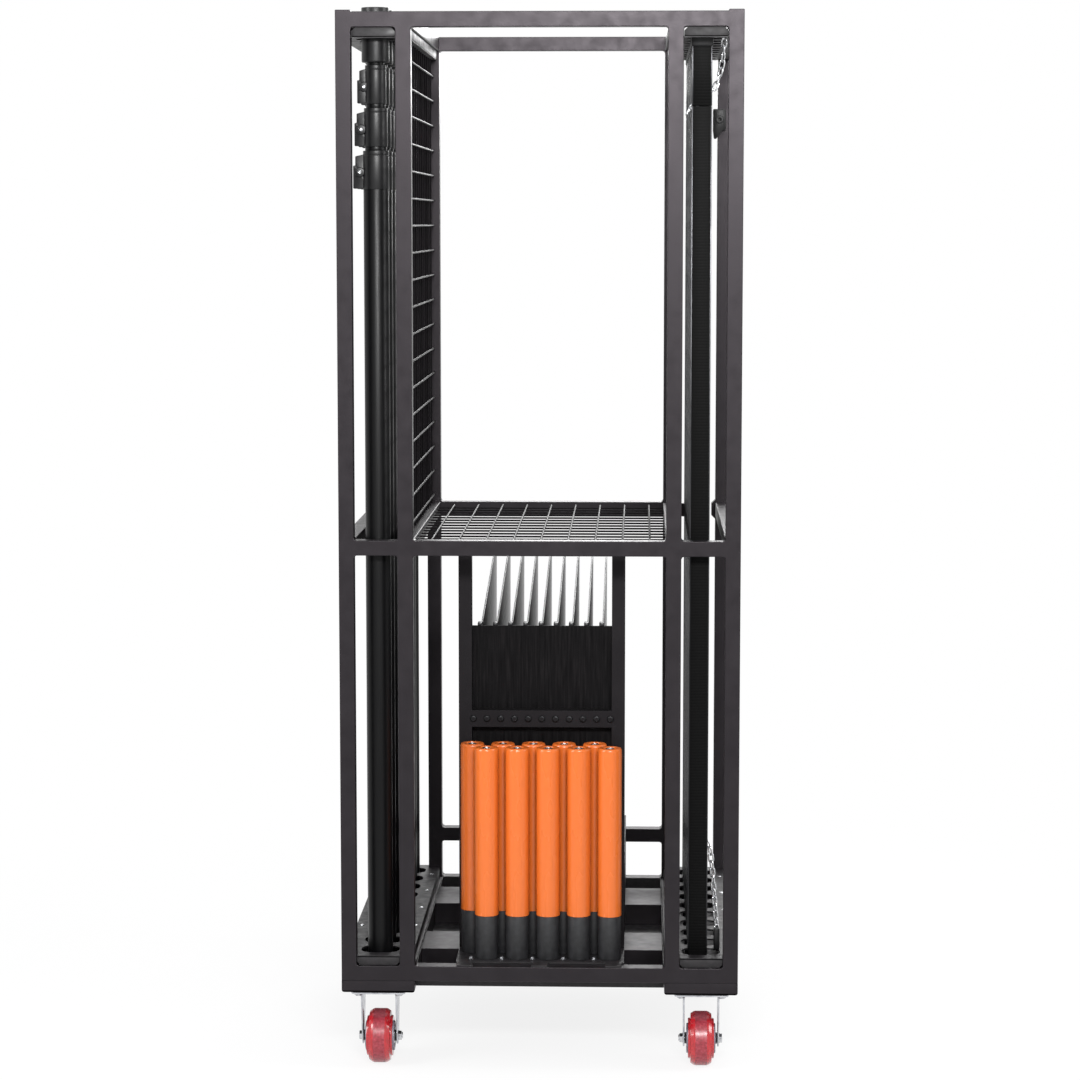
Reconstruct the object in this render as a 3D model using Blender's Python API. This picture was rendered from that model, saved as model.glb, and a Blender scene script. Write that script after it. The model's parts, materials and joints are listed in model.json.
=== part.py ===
"""Pipe and drape cart: a welded square-tube frame on four casters, loaded with its poles.

Metres, +Z up. The front faces -Y. The origin is on the floor, under the middle of the cart.
The left bay stores telescoping uprights and the right bay stores ribbed crossbars. Both stand in
slotted plates. The middle has a wire shelf, and under it a rack of base plates and base pins.
"""

import math

import bmesh
import bpy
from mathutils import Matrix, Vector
from mathutils.geometry import delaunay_2d_cdt

# Clearance between pieces that touch
GAP = 0.0003

# Frame of square tube
WIDTH = 0.740
DEPTH = 0.800
TUBE = 0.028
CORNER_CAP = 0.003
BAY_WIDTH = 0.081
WELD_RADIUS = 0.005
BOTTOM_RAIL_Z = 0.172
SHELF_RAIL_Z = 0.972
TOP_RAIL_Z = 1.934
REAR_LOW_RAIL_Z = 0.277
STUB_LENGTH = 0.018
STUB_DROP = 0.002
KEEPER_TAB = 0.008
KEEPER_TAB_HEIGHT = 0.040
LATCH_WIDTH = 0.027
LATCH_HEIGHT = 0.061
LATCH_DEPTH = 0.015
LATCH_DROP = 0.181
LATCH_OVERHANG = 0.010

# Slotted plates of folded sheet above and below each bay
SHEET = 0.003
SLOT_PLATE_LAP = 0.023
SLOT_PLATE_FLANGE = 0.019
SLOT_TAB_SIDE_GAP = 0.0005
SLOT_TAB_SETBACK = 0.004
SLOT_TAB_CHAMFER = 0.007
SLOT_PITCH = 0.0762
SLOT_END_GAP = 0.002
SLOT_LENGTH = 0.072
SLOT_WIDTH = 0.054
SLOT_CORNER = 0.020

# Welded wire mesh
WIRE = 0.004
SHELF_MESH_PITCH = 0.0508
SHELF_CROSS_PITCH = 0.1016
WALL_MESH_PITCH = 0.1016
WALL_FIRST_ROW = 0.014
SHELF_MESH_DROP = 0.006

# Sills that carry the casters, and the sunk tray between them
SILL_HEIGHT = 0.0217
SILL_WALL = 0.003
SILL_BEND = 0.005
TRAY_DROP = 0.016
TRAY_SHEET = 0.002
CHANNEL_SHEET = 0.003
FRONT_CHANNEL_WIDTH = 0.140
REAR_CHANNEL_WIDTH = 0.151
REAR_CHANNEL_SETBACK = 0.100

# Casters
CASTER_HEIGHT = 0.146
CASTER_PLATE = 0.1016
PLATE_THICKNESS = 0.0032
PLATE_CORNER = 0.006
CASTER_EDGE_X = 0.0162
CASTER_EDGE_Y = 0.0122
WHEEL_RADIUS = 0.0508
WHEEL_TREAD = 0.044
HUB_WIDTH = 0.056
HUB_RADIUS = 0.013
HUB_FOOT_RADIUS = 0.015
WEB_RADIUS = 0.037
RIM_RADIUS = 0.0395
WEB_RECESS = 0.003
TREAD_CROWN = 0.007
BORE_RADIUS = 0.0053
AXLE_RADIUS = 0.0049
AXLE_HEAD = 0.009
AXLE_HEAD_HEIGHT = 0.006
NUT_HEIGHT = 0.008
FORK_INSIDE = 0.062
FORK_SHEET = 0.003
FORK_TOP = 0.075
FORK_FOOT_RADIUS = 0.016
FORK_FOOT_START = 190
FORK_FOOT_TURN = 160
CASTER_BOLT_SPACING = 0.076
BOLT_HEAD_RADIUS = 0.0075
BOLT_HEAD_HEIGHT = 0.005
SWIVEL_TRAIL = 0.034
RACEWAY_RADIUS = 0.034
RACEWAY_HEIGHT = 0.006
KINGPIN_RADIUS = 0.006
KINGPIN_HEAD = 0.010
KINGPIN_HEAD_HEIGHT = 0.005
CROWN_RADIUS = 0.036
CROWN_HEIGHT = 0.008

# Rack for base plates, in the middle of the lower half
RACK_TUBE = 0.025
RACK_WIDTH = 0.315
RACK_SETBACK = 0.112
RACK_REAR_GAP = 0.012
RACK_TOP_Z = 0.968
RACK_SIDE_Z = 0.337
RACK_BAR_Z = 0.630
RACK_BAR_HEIGHT = 0.032
RACK_SCREW_RADIUS = 0.005
RACK_SCREW_HEAD = 0.0025
RACK_SCREWS = 11
FLOOR_SHEET = 0.003
FLOOR_TAB = 0.030
FLOOR_TABS = (-0.140, 0.0, 0.138)
FLOOR_TAB_REACH = 0.026
PANEL_SHEET = 0.003
PANEL_TOP_Z = 0.821
PLATE_PITCH = 0.0289
BASE_PLATES = 9
BASE_PLATE_SHEET = 0.003
BASE_PLATE_FRONT_Z = 0.820
BASE_PLATE_REAR_Z = 0.920

# Slip-on base pins: a black foot under an orange sleeve, and a steel screw in the top
PIN_COUNT = 10
PIN_SETBACK = 0.034
PIN_ROW_STEP = 0.047
PIN_RADIUS = 0.0226
PIN_FOOT_RADIUS = 0.0218
PIN_FOOT = 0.0824
PIN_LENGTH = 0.4014
PIN_RIM = 0.003
PIN_RECESS_RADIUS = 0.011
PIN_RECESS = 0.004
PIN_SCREW_RADIUS = 0.006

# Telescoping uprights, pushed together
UPRIGHT_LENGTH = 1.8187
UPRIGHT_RADIUS = 0.0235
UPRIGHT_TUBE = 1.4897
COLLAR_HEIGHT = 0.070
COLLAR_STEP = 0.0775
COLLAR_RADII = (0.0240, 0.0218, 0.0194)
STAGE_RADII = (0.0200, 0.0178, 0.0160)
KNOB_REACH = (0.042, 0.039, 0.0336)
KNOB_THICKNESS = 0.012
KNOB_HEIGHT = 0.044
CAP_RADIUS = 0.0255
CAP_HEIGHT = 0.099
CAP_RIM = 0.002

# Crossbars
BAR_WIDTH = 0.037
BAR_THICKNESS = 0.025
BAR_LENGTH = 1.7917
BAR_OFFSET = 0.0065
BAR_GROOVES = 3
BAR_GROOVE = 0.004
BAR_GROOVE_DEPTH = 0.0012
BAR_HOOK_HEIGHT = 0.044
BAR_HOOK_GROW = 0.0015
BAR_HOOK_CORNER = 0.003

# Sides of the round pieces
FRONT_UPRIGHT_SIDES = 16
UPRIGHT_SIDES = 8
PIN_SIDES = 10
WHEEL_SIDES = 20
AXLE_SIDES = 10
BORE_SIDES = 12
SWIVEL_SIDES = 16
HEX_SIDES = 6
BEND_STEPS = 3
FOOT_STEPS = 4

# Colours as linear values: base colour, metallic, roughness
PAINT = ((0.040, 0.038, 0.042), 0.3, 0.5)
WIRE_PAINT = ((0.055, 0.053, 0.058), 0.3, 0.5)
ZINC = ((0.60, 0.60, 0.62), 1.0, 0.28)
TREAD = ((0.32, 0.02, 0.03), 0.0, 0.4)
POLE_BLACK = ((0.014, 0.014, 0.015), 0.5, 0.4)
ORANGE = ((0.88, 0.19, 0.045), 0.0, 0.35)
BRUSHED = ((0.06, 0.06, 0.065), 0.7, 0.45)

# Places worked out from the sizes above
HALF_WIDTH = WIDTH / 2
HALF_DEPTH = DEPTH / 2
POST_INSIDE = HALF_WIDTH - TUBE
INNER_POST_OUTSIDE = POST_INSIDE - BAY_WIDTH
OPENING_HALF = INNER_POST_OUTSIDE - TUBE
FRAME_INSIDE_Y = HALF_DEPTH - TUBE
LATCH_Z = TOP_RAIL_Z - LATCH_DROP
SLOT_PLATE_WIDTH = BAY_WIDTH + 2 * SLOT_PLATE_LAP
SLOT_SPAN = 2 * (FRAME_INSIDE_Y - SLOT_END_GAP) - SLOT_WIDTH
SLOT_COUNT = 1 + int(SLOT_SPAN / SLOT_PITCH)
SILL_WIDTH = BAY_WIDTH + 2 * TUBE
RACK_FRONT_Y = RACK_SETBACK - FRAME_INSIDE_Y
RACK_REAR_Y = FRAME_INSIDE_Y - RACK_REAR_GAP
FRONT_CHANNEL = (RACK_FRONT_Y, RACK_FRONT_Y + FRONT_CHANNEL_WIDTH)
REAR_CHANNEL_END = FRAME_INSIDE_Y - REAR_CHANNEL_SETBACK
REAR_CHANNEL = (REAR_CHANNEL_END - REAR_CHANNEL_WIDTH, REAR_CHANNEL_END)
PIN_FRONT_Y = PIN_SETBACK - FRAME_INSIDE_Y
RAIL_TOP = BOTTOM_RAIL_Z + TUBE
SHELF_TOP = SHELF_RAIL_Z + TUBE
BAY_MIDDLE = (POST_INSIDE + INNER_POST_OUTSIDE) / 2
SILL_TOP = BOTTOM_RAIL_Z - GAP
SILL_LOW = SILL_TOP - SILL_HEIGHT
SILL_FLOOR = SILL_LOW + SILL_WALL
RAIL_REACH = FRAME_INSIDE_Y - GAP
RACK_FLOOR = RAIL_TOP + GAP
RACK_STAND = RACK_FLOOR + FLOOR_SHEET + GAP
CASTER_PLATE_LOW = CASTER_HEIGHT - PLATE_THICKNESS


def paint(name, finish):
    """A material of its own for one piece."""
    colour, metallic, roughness = finish
    material = bpy.data.materials.new(name)
    material.use_nodes = True
    shader = material.node_tree.nodes["Principled BSDF"]
    shader.inputs["Base Color"].default_value = (*colour, 1)
    shader.inputs["Metallic"].default_value = metallic
    shader.inputs["Roughness"].default_value = roughness
    material.diffuse_color = (*colour, 1)
    return material


def place(name, mesh, finish, at=(0, 0, 0), parent=None):
    """An object of this mesh with its own material, at a world position or under a parent empty."""
    item = bpy.data.objects.new(name, mesh)
    bpy.context.scene.collection.objects.link(item)
    mesh.materials.clear()
    mesh.materials.append(paint(name, finish))
    item.location = at
    item.parent = parent
    return item


def mesh_of(build):
    """A mesh with its faces outward and its points on a fine grid, so flush faces meet exactly."""
    for vert in build.verts:
        vert.co = [round(value, 6) for value in vert.co]
    bmesh.ops.recalc_face_normals(build, faces=build.faces[:])
    mesh = bpy.data.meshes.new("shape")
    build.to_mesh(mesh)
    build.free()
    return mesh


def box(low, high):
    """A mesh box between two corners."""
    build = bmesh.new()
    low, high = Vector(low), Vector(high)
    middle = Matrix.Translation((low + high) / 2)
    size = Matrix.Diagonal((*(high - low), 1))
    bmesh.ops.create_cube(build, size=1, matrix=middle @ size)
    return mesh_of(build)


def side_box(side, x0, x1, y0, y1, z0, z1):
    """A box given for the right side, mirrored when side is -1."""
    low_x, high_x = sorted((side * x0, side * x1))
    return box((low_x, y0, z0), (high_x, y1, z1))


def within(u, v, loops):
    """Whether a point lies inside an odd number of the loops, so in the outline and in no hole."""
    crossings = 0
    for loop in loops:
        for (u0, v0), (u1, v1) in zip(loop, loop[1:] + loop[:1]):
            if (v0 > v) != (v1 > v) and u < u0 + (v - v0) / (v1 - v0) * (u1 - u0):
                crossings += 1
    return crossings % 2 == 1


def prism(outline, holes, start, end, axis="Z"):
    """A flat outline with holes, made solid from start to end along an axis.

    The outline is in (x, y) for Z, in (x, z) for Y and in (y, z) for X.
    """
    points, edges = [], []
    for loop in [outline, *holes]:
        first = len(points)
        points += [Vector((round(u, 6), round(v, 6))) for u, v in loop]
        last = len(points) - 1
        edges += [(index, index + 1) for index in range(first, last)] + [(last, first)]
    cap = delaunay_2d_cdt(points, edges, [], 0, 1e-7)
    flat = cap[0]
    faces = []
    for face in cap[2]:
        middle = sum((flat[index] for index in face), Vector((0, 0))) / 3
        if within(*middle, [outline, *holes]):
            faces.append(face)
    build = bmesh.new()
    layers = []
    for height in (start, end):
        spots = {"Z": lambda u, v: (u, v, height), "Y": lambda u, v: (u, height, v)}
        spots["X"] = lambda u, v: (height, u, v)
        layers.append([build.verts.new(spots[axis](*point)) for point in flat])
    rim = {}
    for face in faces:
        for layer in layers:
            build.faces.new([layer[index] for index in face])
        for pair in zip(face, face[1:] + face[:1]):
            key = tuple(sorted(pair))
            rim[key] = rim.get(key, 0) + 1
    low, high = layers
    for (a, b), uses in rim.items():
        if uses == 1:
            build.faces.new([low[a], low[b], high[b], high[a]])
    return mesh_of(build)


def lathe(profile, segments, axis="Z", turn=0.5):
    """A turned solid. The profile lists (radius, height); a radius of 0 is a point on the axis.

    The first corner lies a part of a step, turn, round from the X axis.
    """
    build = bmesh.new()
    rings = []
    for radius, height in profile:
        if radius == 0:
            rings.append([build.verts.new((0, 0, height))])
            continue
        ring = []
        for step in range(segments):
            angle = 2 * math.pi * (step + turn) / segments
            spot = (radius * math.cos(angle), radius * math.sin(angle), height)
            ring.append(build.verts.new(spot))
        rings.append(ring)
    pairs = list(zip(rings, rings[1:]))
    if profile[0][0] > 0:
        pairs.append((rings[-1], rings[0]))
    for lower, upper in pairs:
        for step in range(segments):
            after = (step + 1) % segments
            corners = [lower[step % len(lower)], lower[after % len(lower)]]
            corners += [upper[after % len(upper)], upper[step % len(upper)]]
            build.faces.new(list(dict.fromkeys(corners)))
    if axis == "X":
        lying = Matrix.Rotation(math.pi / 2, 3, "Y")
        bmesh.ops.rotate(build, matrix=lying, verts=build.verts[:])
    return mesh_of(build)


def moved(mesh, offset):
    """The mesh shifted by an offset."""
    mesh.transform(Matrix.Translation(offset))
    return mesh


def flipped(mesh, axis):
    """The mesh mirrored across the plane through the origin that is square to the axis."""
    scale = [1, 1, 1]
    scale["XYZ".index(axis)] = -1
    mesh.transform(Matrix.Diagonal((*scale, 1)))
    mesh.flip_normals()
    return mesh


def combined(mesh, others, operation):
    """The mesh joined with the others, or cut by them."""
    body = bpy.data.objects.new("body", mesh)
    bpy.context.scene.collection.objects.link(body)
    helpers = []
    for other in others:
        helper = bpy.data.objects.new("helper", other)
        helper.hide_render = True
        helper.display_type = "WIRE"
        bpy.context.scene.collection.objects.link(helper)
        step = body.modifiers.new("step", "BOOLEAN")
        step.operation = operation
        step.solver = "EXACT"
        step.object = helper
        helpers.append(helper)
    graph = bpy.context.evaluated_depsgraph_get()
    result = bpy.data.meshes.new_from_object(body.evaluated_get(graph))
    for item in [body, *helpers]:
        bpy.data.objects.remove(item)
    return result


def joined(mesh, *others):
    """The union of the meshes."""
    return combined(mesh, others, "UNION")


def cut(mesh, *others):
    """The first mesh without the others."""
    return combined(mesh, others, "DIFFERENCE")


def rounded(x0, x1, y0, y1, radius, steps=2):
    """A rectangle with round corners, as points."""
    points = []
    for cx, cy, start in (
        (x1 - radius, y1 - radius, 0),
        (x0 + radius, y1 - radius, 90),
        (x0 + radius, y0 + radius, 180),
        (x1 - radius, y0 + radius, 270),
    ):
        for step in range(steps + 1):
            angle = math.radians(start + 90 * step / steps)
            points.append((cx + radius * math.cos(angle), cy + radius * math.sin(angle)))
    return points


def circle(u, v, radius, sides):
    """Points on a circle."""
    turn = [2 * math.pi * step / sides for step in range(sides)]
    return [(u + radius * math.cos(angle), v + radius * math.sin(angle)) for angle in turn]


def smooth(item, angle=35):
    """Round pieces are shaded smooth, with sharp edges kept."""
    item.data.shade_smooth()
    item.data.set_sharp_from_angle(angle=math.radians(angle))


def clear_scene():
    """Removes the objects of the startup scene."""
    for item in list(bpy.data.objects):
        bpy.data.objects.remove(item)


def frame_outline():
    """The outside of a front or rear frame: the corner posts stand a cap higher than the rails."""
    rail_top = TOP_RAIL_Z + TUBE
    cap_top = rail_top + CORNER_CAP
    return [
        (-HALF_WIDTH, BOTTOM_RAIL_Z),
        (HALF_WIDTH, BOTTOM_RAIL_Z),
        (HALF_WIDTH, cap_top),
        (POST_INSIDE, cap_top),
        (POST_INSIDE, rail_top),
        (-POST_INSIDE, rail_top),
        (-POST_INSIDE, cap_top),
        (-HALF_WIDTH, cap_top),
    ]


def side_hole(side, z0, z1):
    """An opening between the inner and the outer post."""
    x0, x1 = sorted((side * INNER_POST_OUTSIDE, side * POST_INSIDE))
    return rounded(x0, x1, z0, z1, WELD_RADIUS)


def rear_bay_hole(side):
    """A rear bay, open from bottom to top, with a rail stub and a keeper tab at shelf height."""
    x0, x1 = INNER_POST_OUTSIDE, POST_INSIDE
    z0, z1 = RAIL_TOP, TOP_RAIL_Z
    corners = rounded(x0, x1, z0, z1, WELD_RADIUS)
    per_corner = len(corners) // 4
    upper, lower = corners[: 2 * per_corner], corners[2 * per_corner :]
    stub_z = SHELF_RAIL_Z - STUB_DROP
    stub = [(x0, stub_z + TUBE), (x0 + STUB_LENGTH, stub_z + TUBE)]
    stub += [(x0 + STUB_LENGTH, stub_z), (x0, stub_z)]
    middle = SHELF_RAIL_Z + TUBE / 2 - STUB_DROP / 2
    half = KEEPER_TAB_HEIGHT / 2
    tab = [(x1, middle - half), (x1 - KEEPER_TAB, middle - half + KEEPER_TAB)]
    tab += [(x1 - KEEPER_TAB, middle + half - KEEPER_TAB), (x1, middle + half)]
    return [(side * x, z) for x, z in upper + stub + lower + tab]


def make_frames():
    """The front and the rear frame, each one welded ladder of square tube."""
    outline = frame_outline()
    front_holes = []
    for z0, z1 in ((RAIL_TOP, SHELF_RAIL_Z), (SHELF_TOP, TOP_RAIL_Z)):
        front_holes += [side_hole(-1, z0, z1), side_hole(1, z0, z1)]
        front_holes.append(rounded(-OPENING_HALF, OPENING_HALF, z0, z1, WELD_RADIUS))
    front = prism(outline, front_holes, -HALF_DEPTH, -FRAME_INSIDE_Y, "Y")
    place("front_frame", front, PAINT)
    rear_holes = [rear_bay_hole(-1), rear_bay_hole(1)]
    low_top = REAR_LOW_RAIL_Z + TUBE
    spans = ((RAIL_TOP, REAR_LOW_RAIL_Z), (low_top, SHELF_RAIL_Z), (SHELF_TOP, TOP_RAIL_Z))
    for z0, z1 in spans:
        rear_holes.append(rounded(-OPENING_HALF, OPENING_HALF, z0, z1, WELD_RADIUS))
    rear = prism(outline, rear_holes, FRAME_INSIDE_Y, HALF_DEPTH, "Y")
    place("rear_frame", rear, PAINT)
    rear_face = FRAME_INSIDE_Y - GAP
    x0 = POST_INSIDE - LATCH_OVERHANG
    z1 = LATCH_Z + LATCH_HEIGHT
    latch = box((x0, rear_face - LATCH_DEPTH, LATCH_Z), (x0 + LATCH_WIDTH, rear_face, z1))
    place("rear_right_latch_block", latch, POLE_BLACK)


def make_side_rails():
    """Rails from the front frame to the rear one, on both sides of each bay."""
    levels = {"bottom": BOTTOM_RAIL_Z, "mid": SHELF_RAIL_Z, "top": TOP_RAIL_Z}
    lines = {"inner": (OPENING_HALF, INNER_POST_OUTSIDE), "outer": (POST_INSIDE, HALF_WIDTH)}
    for side, word in ((-1, "left"), (1, "right")):
        for line, (x0, x1) in lines.items():
            for level, z in levels.items():
                rail = side_box(side, x0, x1, -RAIL_REACH, RAIL_REACH, z, z + TUBE)
                place(f"{word}_{line}_{level}_rail", rail, PAINT)


def slot_y(index):
    """Middle of a slot along the bay, counted from the front."""
    return (index - (SLOT_COUNT - 1) / 2) * SLOT_PITCH


def slot_plate():
    """A folded plate in its own frame: web with its top at z = 0 and flanges down from it."""
    half = SLOT_PLATE_WIDTH / 2
    reach = RAIL_REACH
    tab_half = (POST_INSIDE - INNER_POST_OUTSIDE) / 2 - SLOT_TAB_SIDE_GAP
    tab_end = HALF_DEPTH - SLOT_TAB_SETBACK
    quarter = [(half, reach), (tab_half, reach), (tab_half, tab_end)]
    outline = quarter + [(-x, y) for x, y in reversed(quarter)]
    outline += [(-x, -y) for x, y in quarter] + [(x, -y) for x, y in reversed(quarter)]
    slots = []
    for index in range(SLOT_COUNT):
        y = slot_y(index)
        long, wide = SLOT_LENGTH / 2, SLOT_WIDTH / 2
        slots.append(rounded(-long, long, y - wide, y + wide, SLOT_CORNER, 1))
    web = prism(outline, slots, -SHEET, 0)
    low = GAP - SLOT_PLATE_FLANGE
    flanges = []
    for side in (-1, 1):
        flanges.append(side_box(side, half - SHEET, half, -reach, reach, low, -SHEET / 2))
        y0, y1 = sorted((side * tab_end, side * (tab_end - SHEET)))
        chamfer = SLOT_TAB_CHAMFER
        end = [(tab_half, -SHEET / 2), (tab_half, low + chamfer), (tab_half - chamfer, low)]
        end += [(-x, z) for x, z in reversed(end)]
        flanges.append(prism(end, [], y0, y1, "Y"))
    return joined(web, *flanges)


def make_slot_plates():
    """Each bay has one plate on its bottom rails and the same plate turned over under its top rails."""
    for side, word in ((-1, "left"), (1, "right")):
        lower = moved(slot_plate(), (side * BAY_MIDDLE, 0, RAIL_TOP + SLOT_PLATE_FLANGE))
        place(f"{word}_lower_slot_plate", lower, PAINT)
        upper = flipped(slot_plate(), "Z")
        upper = moved(upper, (side * BAY_MIDDLE, 0, TOP_RAIL_Z - SLOT_PLATE_FLANGE))
        place(f"{word}_upper_slot_plate", upper, PAINT)


def net(columns, rows, span_u, span_v, thickness, axis):
    """A flat net of square wires. Columns and rows list the wires' middles."""
    half = WIRE / 2
    us = sorted([*span_u] + [c + s * half for c in columns for s in (-1, 1)])
    vs = sorted([*span_v] + [r + s * half for r in rows for s in (-1, 1)])
    wire_u = [any(abs((a + b) / 2 - c) < half for c in columns) for a, b in zip(us, us[1:])]
    wire_v = [any(abs((a + b) / 2 - r) < half for r in rows) for a, b in zip(vs, vs[1:])]
    build = bmesh.new()
    corners = {}

    def corner(i, j, level):
        if (i, j, level) not in corners:
            along = thickness[level]
            spot = (along, us[i], vs[j]) if axis == "X" else (us[i], vs[j], along)
            corners[i, j, level] = build.verts.new(spot)
        return corners[i, j, level]

    def solid(i, j):
        inside = 0 <= i < len(wire_u) and 0 <= j < len(wire_v)
        return inside and (wire_u[i] or wire_v[j])

    for i in range(len(wire_u)):
        for j in range(len(wire_v)):
            if not solid(i, j):
                continue
            ring = ((i, j), (i + 1, j), (i + 1, j + 1), (i, j + 1))
            for level in (0, 1):
                build.faces.new([corner(a, b, level) for a, b in ring])
            beside = ((i, j - 1), (i + 1, j), (i, j + 1), (i - 1, j))
            for edge, neighbour in enumerate(beside):
                if solid(*neighbour):
                    continue
                a, b = ring[edge]
                c, d = ring[(edge + 1) % 4]
                wall = [corner(a, b, 0), corner(c, d, 0), corner(c, d, 1), corner(a, b, 1)]
                build.faces.new(wall)
    return mesh_of(build)


def centred_wires(half_span, pitch):
    """Wire places at this pitch, evenly about the middle, that fit in the span."""
    count = int((half_span - WIRE) / pitch + 0.5)
    return [(step + 0.5) * pitch for step in range(-count, count)]


def make_meshes():
    """The wire shelf and the two wire walls that stand on the shelf's side rails."""
    bottom = SHELF_TOP + GAP
    top = TOP_RAIL_Z - SLOT_PLATE_FLANGE - GAP
    first = SHELF_TOP + WALL_FIRST_ROW
    rows = []
    while first + len(rows) * WALL_MESH_PITCH + WIRE / 2 < top:
        rows.append(first + len(rows) * WALL_MESH_PITCH)
    columns = centred_wires(RAIL_REACH, WALL_MESH_PITCH)
    plane = (OPENING_HALF + INNER_POST_OUTSIDE) / 2
    for side, word in ((-1, "left"), (1, "right")):
        spread = (side * plane - WIRE / 2, side * plane + WIRE / 2)
        panel = net(columns, rows, (-RAIL_REACH, RAIL_REACH), (bottom, top), spread, "X")
        place(f"{word}_wire_wall", panel, WIRE_PAINT)
    half = OPENING_HALF - GAP
    across = centred_wires(half, SHELF_MESH_PITCH)
    along = centred_wires(RAIL_REACH, SHELF_CROSS_PITCH)
    z1 = SHELF_TOP - SHELF_MESH_DROP
    shelf = net(across, along, (-half, half), (-RAIL_REACH, RAIL_REACH), (z1 - WIRE, z1), "Z")
    place("wire_shelf", shelf, WIRE_PAINT)


def caster_centre(side, end):
    """Middle of a caster's top plate; side is -1 left or 1 right, end is -1 front or 1 rear."""
    half = CASTER_PLATE / 2
    return side * (HALF_WIDTH - CASTER_EDGE_X - half), end * (HALF_DEPTH - CASTER_EDGE_Y - half)


def sill(side):
    """A folded pan under one bay, with a welded pad over each caster."""
    inner, outer = HALF_WIDTH - SILL_WIDTH, HALF_WIDTH
    bend = [(outer, SILL_TOP), (inner, SILL_TOP)]
    for x, start in ((inner + SILL_BEND, 180), (outer - SILL_BEND, 270)):
        for step in range(BEND_STEPS + 1):
            angle = math.radians(start + 90 * step / BEND_STEPS)
            z = SILL_LOW + SILL_BEND + SILL_BEND * math.sin(angle)
            bend.append((x + SILL_BEND * math.cos(angle), z))
    outline = [(side * x, z) for x, z in bend]
    pan = prism(outline, [], -HALF_DEPTH, HALF_DEPTH, "Y")
    wall = SILL_WALL
    y_wall = HALF_DEPTH - wall
    hollow = side_box(side, inner + wall, outer - wall, -y_wall, y_wall, SILL_FLOOR, SILL_TOP + wall)
    pads = []
    for end in (-1, 1):
        x, y = caster_centre(side, end)
        half = CASTER_PLATE / 2
        low = CASTER_HEIGHT + GAP
        pads.append(box((x - half, y - half, low), (x + half, y + half, SILL_LOW + wall / 2)))
    return joined(cut(pan, hollow), *pads)


def upright(foot, sides):
    """A telescoping upright, pushed together: tube, three clamp collars with knobs, and a cap."""
    body = [(0, foot), (UPRIGHT_RADIUS, foot), (UPRIGHT_RADIUS, UPRIGHT_TUBE)]
    knobs = []
    collar_z = UPRIGHT_TUBE
    for radius, stage, reach in zip(COLLAR_RADII, STAGE_RADII, KNOB_REACH):
        top = collar_z + COLLAR_HEIGHT
        body += [(radius, collar_z), (radius, top), (stage, top), (stage, collar_z + COLLAR_STEP)]
        half = KNOB_THICKNESS / 2
        z = collar_z + (COLLAR_HEIGHT - KNOB_HEIGHT) / 2
        knobs.append(box((-reach, -half, z), (-radius / 2, half, z + KNOB_HEIGHT)))
        collar_z += COLLAR_STEP
    body.pop()
    cap = UPRIGHT_LENGTH - CAP_HEIGHT
    body += [(STAGE_RADII[-1], cap), (CAP_RADIUS, cap), (CAP_RADIUS, UPRIGHT_LENGTH - CAP_RIM)]
    body += [(CAP_RADIUS - CAP_RIM, UPRIGHT_LENGTH), (0, UPRIGHT_LENGTH)]
    return joined(lathe(body, sides), *knobs)


def bar_outline():
    """A flat bar whose front and back faces carry long grooves."""
    half_w = BAR_WIDTH / 2
    half_t = BAR_THICKNESS / 2
    pitch = BAR_WIDTH / BAR_GROOVES
    face = []
    for index in range(BAR_GROOVES):
        x = -half_w + (index + 0.5) * pitch
        left, right = x - BAR_GROOVE / 2, x + BAR_GROOVE / 2
        face += [(left, 0), (left, BAR_GROOVE_DEPTH), (right, BAR_GROOVE_DEPTH), (right, 0)]
    front = [(-half_w, -half_t)] + [(x, -half_t + d) for x, d in face] + [(half_w, -half_t)]
    back = [(half_w, half_t)] + [(x, half_t - d) for x, d in reversed(face)] + [(-half_w, half_t)]
    return front + back


def crossbar(foot):
    """A ribbed crossbar standing on end, with the solid hook end at its top."""
    hook = BAR_LENGTH - BAR_HOOK_HEIGHT
    half_w = BAR_WIDTH / 2 + BAR_HOOK_GROW
    half_t = BAR_THICKNESS / 2 + BAR_HOOK_GROW
    bar = prism(bar_outline(), [], foot, hook + BAR_HOOK_HEIGHT / 2)
    top = prism(rounded(-half_w, half_w, -half_t, half_t, BAR_HOOK_CORNER, 1), [], hook, BAR_LENGTH)
    return joined(bar, top)


def make_sills_with_load():
    """The front pole of each bay is its own piece; the nine behind it are one with the sill."""
    sink = -SILL_WALL / 2
    spots = [slot_y(index) for index in range(SLOT_COUNT)]
    bar_x = BAY_MIDDLE - BAR_OFFSET
    poles = [moved(upright(sink, UPRIGHT_SIDES), (-BAY_MIDDLE, y, SILL_FLOOR)) for y in spots[1:]]
    smooth(place("left_sill_with_uprights", joined(sill(-1), *poles), PAINT))
    bars = [moved(crossbar(sink), (bar_x, y, SILL_FLOOR)) for y in spots[1:]]
    place("right_sill_with_crossbars", joined(sill(1), *bars), PAINT)
    stand = SILL_FLOOR + GAP
    front = upright(0, FRONT_UPRIGHT_SIDES)
    smooth(place("front_upright", front, POLE_BLACK, (-BAY_MIDDLE, spots[0], stand)))
    place("front_crossbar", crossbar(0), POLE_BLACK, (bar_x, spots[0], stand))


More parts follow.
